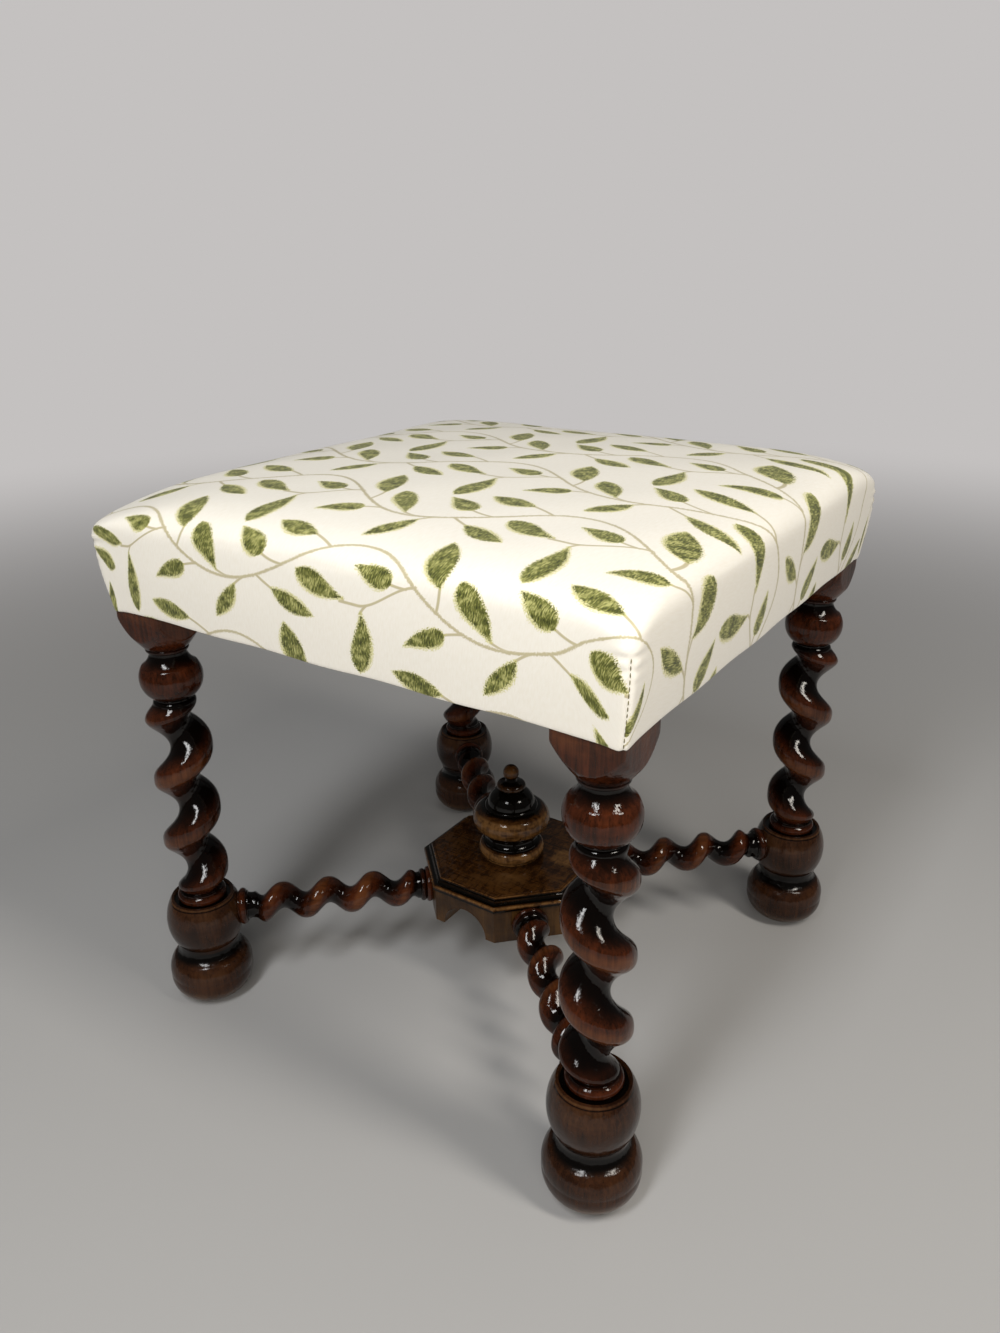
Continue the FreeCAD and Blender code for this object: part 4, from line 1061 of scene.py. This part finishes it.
from_root = add(leaf_tree, VECTOR, near, given["Root"], operation="SUBTRACT")
done, whole = (add(leaf_tree, VECTOR, part, given["Stalk"], operation="DOT_PRODUCT").outputs["Value"]
               for part in (from_root, given["Stalk"]))
done = add(leaf_tree, MATH, done, whole, operation="DIVIDE", use_clamp=True)
hang = add(leaf_tree, MATH, 1.0, done, operation="SUBTRACT")
hang = add(leaf_tree, MATH, done, hang, operation="MULTIPLY")
straight = add(leaf_tree, VECTOR, given["Stalk"], named={"Scale": done}, operation="SCALE")
bow = add(leaf_tree, VECTOR, given["Sag"], named={"Scale": hang}, operation="SCALE")
centre = add(leaf_tree, VECTOR, bow, straight, operation="ADD")
astray = add(leaf_tree, VECTOR, from_root, centre, operation="DISTANCE").outputs["Value"]
stalk = add(leaf_tree, RANGE, astray, 0.8 * MM, 1.5 * MM, 1.0, 0.0)
add(leaf_tree, "NodeGroupOutput", leaf, edge, stalk)
print("leaf group:", len(leaf_tree.nodes), "nodes")

# %% Leaves on the satin
PICK = (1.0 * MM, 1.6 * MM)     # single floats, which leave the figure's edges stippled
THREAD = (1.0 * MM, 5 * MM)     # float width and length; real floats are finer, drawn coarser to show
STALK_BOW = 0.6
ALMOND, TAPERED, TEARDROP = (0.95, 0.95), (0.7, 1.15), (1.15, 0.55)    # how a leaf narrows to tip and base
LEAVES = [          # along, up, turn, half length, half width, form, bend, curl, joins along, joins up
    (-21, 26, 134, 26.5, 9, TAPERED, 1, -3, 20, 3), (23, 41, 144, 20, 9, TEARDROP, 1, 1, 62, 25),
    (7, -24, 235, 21, 7, ALMOND, -1, 2, 26, 5), (75.5, -9, 335, 22.5, 7.5, ALMOND, 2, 1, 38, 10),
    (-58, -8, 203, 18.5, 8, TEARDROP, 1, 2, -28, 5), (-111, -29, 263, 28.5, 9, TAPERED, -2, 4, -110, 8),
    (100, 15, 152, 24.5, 9, TAPERED, -2, 3, 125, 6), (-110, 36, 161, 18, 8.5, TEARDROP, 1, 1, -79, 30),
    (-66, 61, 111, 27, 10.5, ALMOND, -2, 1, -51, 18), (52, 64, 161, 22, 8.5, ALMOND, -1, 2, 97, 50)]

satin, tree, shader = new_material("ivory_satin_with_leaves")
cloth_at = add(tree, "ShaderNodeUVMap", uv_map="cloth_flat")
cloth_at = add(tree, VECTOR, cloth_at, (*-FIGURE_AT, 0), operation="ADD")
stretched, picks = (add(tree, VECTOR, cloth_at, (1 / wide, 1 / long, 0), operation="MULTIPLY")
                    for wide, long in (THREAD, PICK))
threads = add(tree, NOISE, named={"Vector": stretched, "Scale": 1.0, "Detail": 2.0, "Roughness": 0.6})
picks = add(tree, NOISE, named={"Vector": picks, "Scale": 1.0, "Detail": 1.0})
ragged = add(tree, RANGE, picks, 0.3, 0.7, -1.7 * MM, 1.5 * MM)
masks = []
for s, up, turn, long, wide, (tip, base), bend, curl, join_s, join_up in LEAVES:
    peak = (2 * tip / (tip + base)) ** tip * (2 * base / (tip + base)) ** base
    middle = (s * along_row + up * up_row) * MM
    along = np.array([math.cos(math.radians(turn)), math.sin(math.radians(turn))])
    root = (-long * along + (bend - curl) * np.array([-along[1], along[0]])) * MM
    stalk = (join_s * along_row + join_up * up_row) * MM - middle - root
    sag = -STALK_BOW * (np.linalg.norm(stalk) * along + stalk)
    leaf = add(tree, "ShaderNodeGroup", node_tree=leaf_tree, named={
        "Cloth": cloth_at, "Ragged": ragged, "Middle": (*middle, 0), "Along": (*along, 0), "Root": (*root, 0),
        "Stalk": (*stalk, 0), "Sag": (*sag, 0), "Half Length": long * MM, "Half Width": wide / peak * MM,
        "Tip": tip, "Base": base, "Bend": bend * MM, "Curl": curl * MM})
    drawn = [leaf.outputs[k] for k in range(3)]
    masks = [add(tree, MATH, *pair, operation="MAXIMUM") for pair in zip(masks, drawn)] or drawn
leaf_mask, edge_mask, stalk_mask = masks
print("satin:", len(LEAVES), "leaves in a repeat of", round(repeat / MM), "mm")

# %% Stem and branch
STEM_RISE = 30 * MM             # half the height of the stem's wave
FLAT_LOW = 0.12                 # makes the wave's low part longer than its crest
STEEP = 0.22                    # keeps the stem as thick where it climbs
STEM, BRANCH = (1.0 * MM, 1.8 * MM), (0.9 * MM, 1.7 * MM)      # half width, inside and outside its soft edge
BRANCH_FROM, CLIMB_FROM, BRANCH_TO = -136 * MM, -118 * MM, -70 * MM
BRANCH_LOW, BRANCH_HIGH = 6 * MM - STEM_RISE, 33 * MM - STEM_RISE
BRANCH_WRAP = BRANCH_TO + 0.1   # the way along a row starts again here

row_height, row_shift = float(REPEAT_B @ up_row), float(REPEAT_B @ along_row)
s, up = (add(tree, VECTOR, cloth_at, (*axis, 0), operation="DOT_PRODUCT").outputs["Value"]
         for axis in (along_row, up_row))
up = add(tree, MATH, up, STEM_RISE, operation="SUBTRACT")
row = add(tree, MATH, up, row_height, operation="DIVIDE")
row = add(tree, MATH, row, operation="ROUND")
s = add(tree, MATH, row, -row_shift, s, operation="MULTIPLY_ADD")
up = add(tree, MATH, row, -row_height, up, operation="MULTIPLY_ADD")
phase = add(tree, MATH, s, 2 * math.pi / repeat, operation="MULTIPLY")
phase = add(tree, MATH, add(tree, MATH, phase, operation="SINE"), -FLAT_LOW, phase, operation="MULTIPLY_ADD")
wave = add(tree, MATH, phase, operation="COSINE")
wave = add(tree, MATH, wave, STEM_RISE, up, operation="MULTIPLY_ADD")
wave = add(tree, MATH, wave, operation="ABSOLUTE")
slope = add(tree, MATH, phase, operation="SINE")
slope = add(tree, MATH, slope, slope, operation="MULTIPLY")
wave = add(tree, MATH, wave, add(tree, MATH, slope, STEEP, 1.0, operation="MULTIPLY_ADD"), operation="DIVIDE")
wave = add(tree, MATH, ragged, -0.5, wave, operation="MULTIPLY_ADD")
stem = add(tree, RANGE, wave, *STEM, 1.0, 0.0)
here = add(tree, MATH, s, BRANCH_WRAP, BRANCH_WRAP - repeat, operation="WRAP")
climb = add(tree, RANGE, here, CLIMB_FROM, BRANCH_TO, BRANCH_LOW, BRANCH_HIGH, interpolation_type="SMOOTHSTEP")
branch = add(tree, MATH, add(tree, MATH, up, climb, operation="SUBTRACT"), operation="ABSOLUTE")
branch = add(tree, RANGE, branch, *BRANCH, 1.0, 0.0)
for end, sign in ((BRANCH_FROM, 1), (BRANCH_TO, -1)):
    kept = add(tree, MATH, here, end, operation="SUBTRACT")
    kept = add(tree, MATH, kept, sign / MM, operation="MULTIPLY", use_clamp=True)
    branch = add(tree, MATH, branch, kept, operation="MULTIPLY")
for more in (branch, stalk_mask):
    stem = add(tree, MATH, stem, more, operation="MAXIMUM")
print("rows of stems are", round(row_height / MM), "mm apart")

# %% Colours of the satin
PATCHES = 9 * MM                # of lighter and darker green

patches = add(tree, NOISE, named={"Vector": cloth_at, "Scale": 1 / PATCHES, "Detail": 2.0})
shade = add(tree, MATH, patches, 0.6, threads, operation="MULTIPLY_ADD")
shade = add(tree, RANGE, shade, 0.62, 0.98, 0.0, 1.0)
green = add(tree, "ShaderNodeValToRGB", shade)
greens = green.color_ramp.elements
greens[0].color, greens[1].color = linear("#353a10"), linear("#b9b876")
greens.new(0.5).color = linear("#6c7030")
ground = add(tree, NOISE, named={"Vector": stretched, "Scale": 0.7, "Detail": 2.0})
ground = add(tree, RANGE, ground, 0.3, 0.7, 0.0, 1.0)
colour = add(tree, MIX, named={0: ground, 6: linear("#f4f0e5"), 7: linear("#f8f5ec")}, data_type="RGBA")
lime = add(tree, MATH, edge_mask, 0.8, operation="MULTIPLY")
for share, thread in ((stem, linear("#c6bd9b")), (lime, linear("#d3cf86")), (leaf_mask, green)):
    colour = add(tree, MIX, named={0: share, 6: colour.outputs[2], 7: thread}, data_type="RGBA")
raised = add(tree, MATH, leaf_mask, stem, operation="MAXIMUM")
raised = add(tree, MATH, threads, 0.4, raised, operation="MULTIPLY_ADD")
bump = add(tree, "ShaderNodeBump", named={"Strength": 0.4, "Distance": 0.25 * MM, "Height": raised})
rough = add(tree, RANGE, leaf_mask, 0.0, 1.0, 0.40, 0.7)
rough = add(tree, RANGE, stem, 0.0, 1.0, rough, 0.28)
fill(shader, {"Base Color": colour.outputs[2], "Normal": bump, "Roughness": rough, "Sheen Weight": 0.15,
              "Specular IOR Level": 0.35})
refinish(cover, satin)
print("satin tree:", len(tree.nodes), "nodes")

# %% [markdown]
# ## Corner stitches
# Each corner is closed by hand with a strong thread, and the stitches show as short dark dashes down
# the seam. Geometry Nodes walk the seam's line and set a stitch along it at every step.

# %% Corner stitches
stitching, given = tree_with("seam_stitches", {
    "Geometry": "Seams", "Float": "Spacing, Thickness, Length", "Material": "Finish"})
line = add(stitching, "GeometryNodeMeshToCurve", given["Seams"])
line = add(stitching, "GeometryNodeResampleCurve", line, mode="LENGTH", named={"Length": given["Spacing"]})
thread = add(stitching, "GeometryNodeMeshUVSphere", named={"Segments": 6, "Rings": 5, "Radius": 1.0})
size = add(stitching, "ShaderNodeCombineXYZ", given["Thickness"], given["Thickness"], given["Length"])
tangent = add(stitching, "GeometryNodeInputTangent")
lean = add(stitching, "FunctionNodeAlignRotationToVector", named={"Vector": tangent}, axis="Z")
stitches = add(stitching, "GeometryNodeInstanceOnPoints", line,
               named={"Instance": thread, "Rotation": lean, "Scale": size})
end_tree(stitching, stitches, given["Finish"])
seam_mesh = bpy.data.meshes.new("seam_lines")
starts = np.cumsum([0] + [len(p) for p in seam_points])
links = [(k, k + 1) for a, b in zip(starts, starts[1:]) for k in range(a, b - 1)]
seam_mesh.from_pydata(np.concatenate(seam_points) * MM, links, [])
sewing = woven("olive_sewing_thread", "#8d8658", "#4f4a2a", 0.8 * MM)
stitches = grow("corner_stitches", seam_mesh, stitching, Spacing=4.6 * MM, Thickness=0.4 * MM,
                Length=1.7 * MM, Finish=sewing)
finish_piece(stitches, "cover_fabric")

# %% [markdown]
# ## Camera, light and floor
# The camera stands where the photograph was taken, found from the four feet, the platform and the
# seat's hem. Two high soft windows give the paired highlights on the polish, a broad front panel
# fills the seat's sides, and an overhead panel lights the top. The floor fades into the backdrop.

# %% Camera
FOCAL_PIXELS, PICTURE_HEIGHT = 1023.5, 1333
CAMERA_AT = Vector((0.5025, -0.7575, 0.7017))
BEARING, PITCH_DOWN, ROLL = 34.19, 22.46, math.radians(-0.627)


def direction(bearing, rise):
    """The way to a bearing from the front, towards the right, and a rise, in degrees."""
    bearing, rise = math.radians(bearing), math.radians(rise)
    return Vector((math.sin(bearing) * math.cos(rise), -math.cos(bearing) * math.cos(rise), math.sin(rise)))


look = -direction(BEARING, PITCH_DOWN)
right = look.cross(Vector((0, 0, 1))).normalized()
turned = Matrix((right, right.cross(look), -look)).transposed() @ Matrix.Rotation(ROLL, 3, "Z")
lens = bpy.data.cameras.new("photograph_camera")
lens.sensor_width = 36
lens.lens = lens.sensor_width * FOCAL_PIXELS / PICTURE_HEIGHT
camera = placed("photograph_camera", lens)
camera.matrix_world = Matrix.Translation(CAMERA_AT) @ turned.to_4x4()
scene.camera = camera
print("lens in mm:", round(lens.lens, 2))

# %% Lamps and world
SEAT_MIDDLE = Vector((0, 0, 0.35))
BACKDROP = "#c4c1c0"
LAMPS = {           # bearing, rise, distance, width, height, power, tint
    "left_window": (6, 48, 2.0, 0.31, 0.96, 19, "#ffffff"),
    "right_window": (84, 46, 2.0, 0.31, 0.96, 19, "#fff8ee"),
    "front_panel": (30, 16, 2.6, 2.2, 1.4, 31, "#fff8ee"),
    "overhead_panel": (200, 78, 2.2, 1.8, 1.8, 4, "#ffffff")}
for name, (bearing, rise, away, width, tall, power, tint) in LAMPS.items():
    lamp = bpy.data.lights.new(name, "AREA")
    lamp.shape = "RECTANGLE"
    lamp.size, lamp.size_y, lamp.energy, lamp.color = width, tall, power, linear(tint)[:3]
    way = direction(bearing, rise)
    holder = placed(name, lamp)
    facing = way.to_track_quat("Z", "Y").to_matrix().to_4x4()
    holder.matrix_world = Matrix.Translation(SEAT_MIDDLE + way * away) @ facing
    holder.visible_glossy = name.endswith("window")
sky = bpy.data.worlds.new("studio")
sky.use_nodes = True
scene.world = sky
tree = sky.node_tree
dim = tree.nodes["Background"]
fill(dim, {"Color": linear("#f4f3f0"), "Strength": 0.08})
pale = add(tree, "ShaderNodeBackground", linear(BACKDROP), 1.0)
ray = add(tree, "ShaderNodeLightPath").outputs["Is Camera Ray"]
fill(tree.nodes["World Output"], {"Surface": add(tree, "ShaderNodeMixShader", ray, dim, pale)})
print("lamps:", list(LAMPS))

# %% Floor
FADE_FROM, FADE_TO = 0.8, 3.2
floor_mesh = bpy.data.meshes.new("floor")
form = bmesh.new()
bmesh.ops.create_circle(form, cap_ends=True, radius=30, segments=96)
form.to_mesh(floor_mesh)
form.free()
floor = placed("floor", floor_mesh)
paper, tree, matte = new_material("pale_paper")
fill(matte, {"Base Color": linear("#b2b2b2"), "Roughness": 0.9, "Specular IOR Level": 0.1})
spot = add(tree, "ShaderNodeTexCoord").outputs["Object"]
away = add(tree, VECTOR, spot, operation="LENGTH").outputs["Value"]
fade = add(tree, RANGE, away, FADE_FROM, FADE_TO, 0.0, 1.0, interpolation_type="SMOOTHSTEP")
ray = add(tree, "ShaderNodeLightPath").outputs["Is Camera Ray"]
seen = add(tree, MATH, fade, ray, operation="MULTIPLY")
glow = add(tree, "ShaderNodeEmission", linear(BACKDROP), 1.0)
fill(tree.nodes["Material Output"], {"Surface": add(tree, "ShaderNodeMixShader", seen, matte, glow)})
floor_mesh.materials.append(paper)
print("floor fades from", FADE_FROM, "to", FADE_TO, "m")
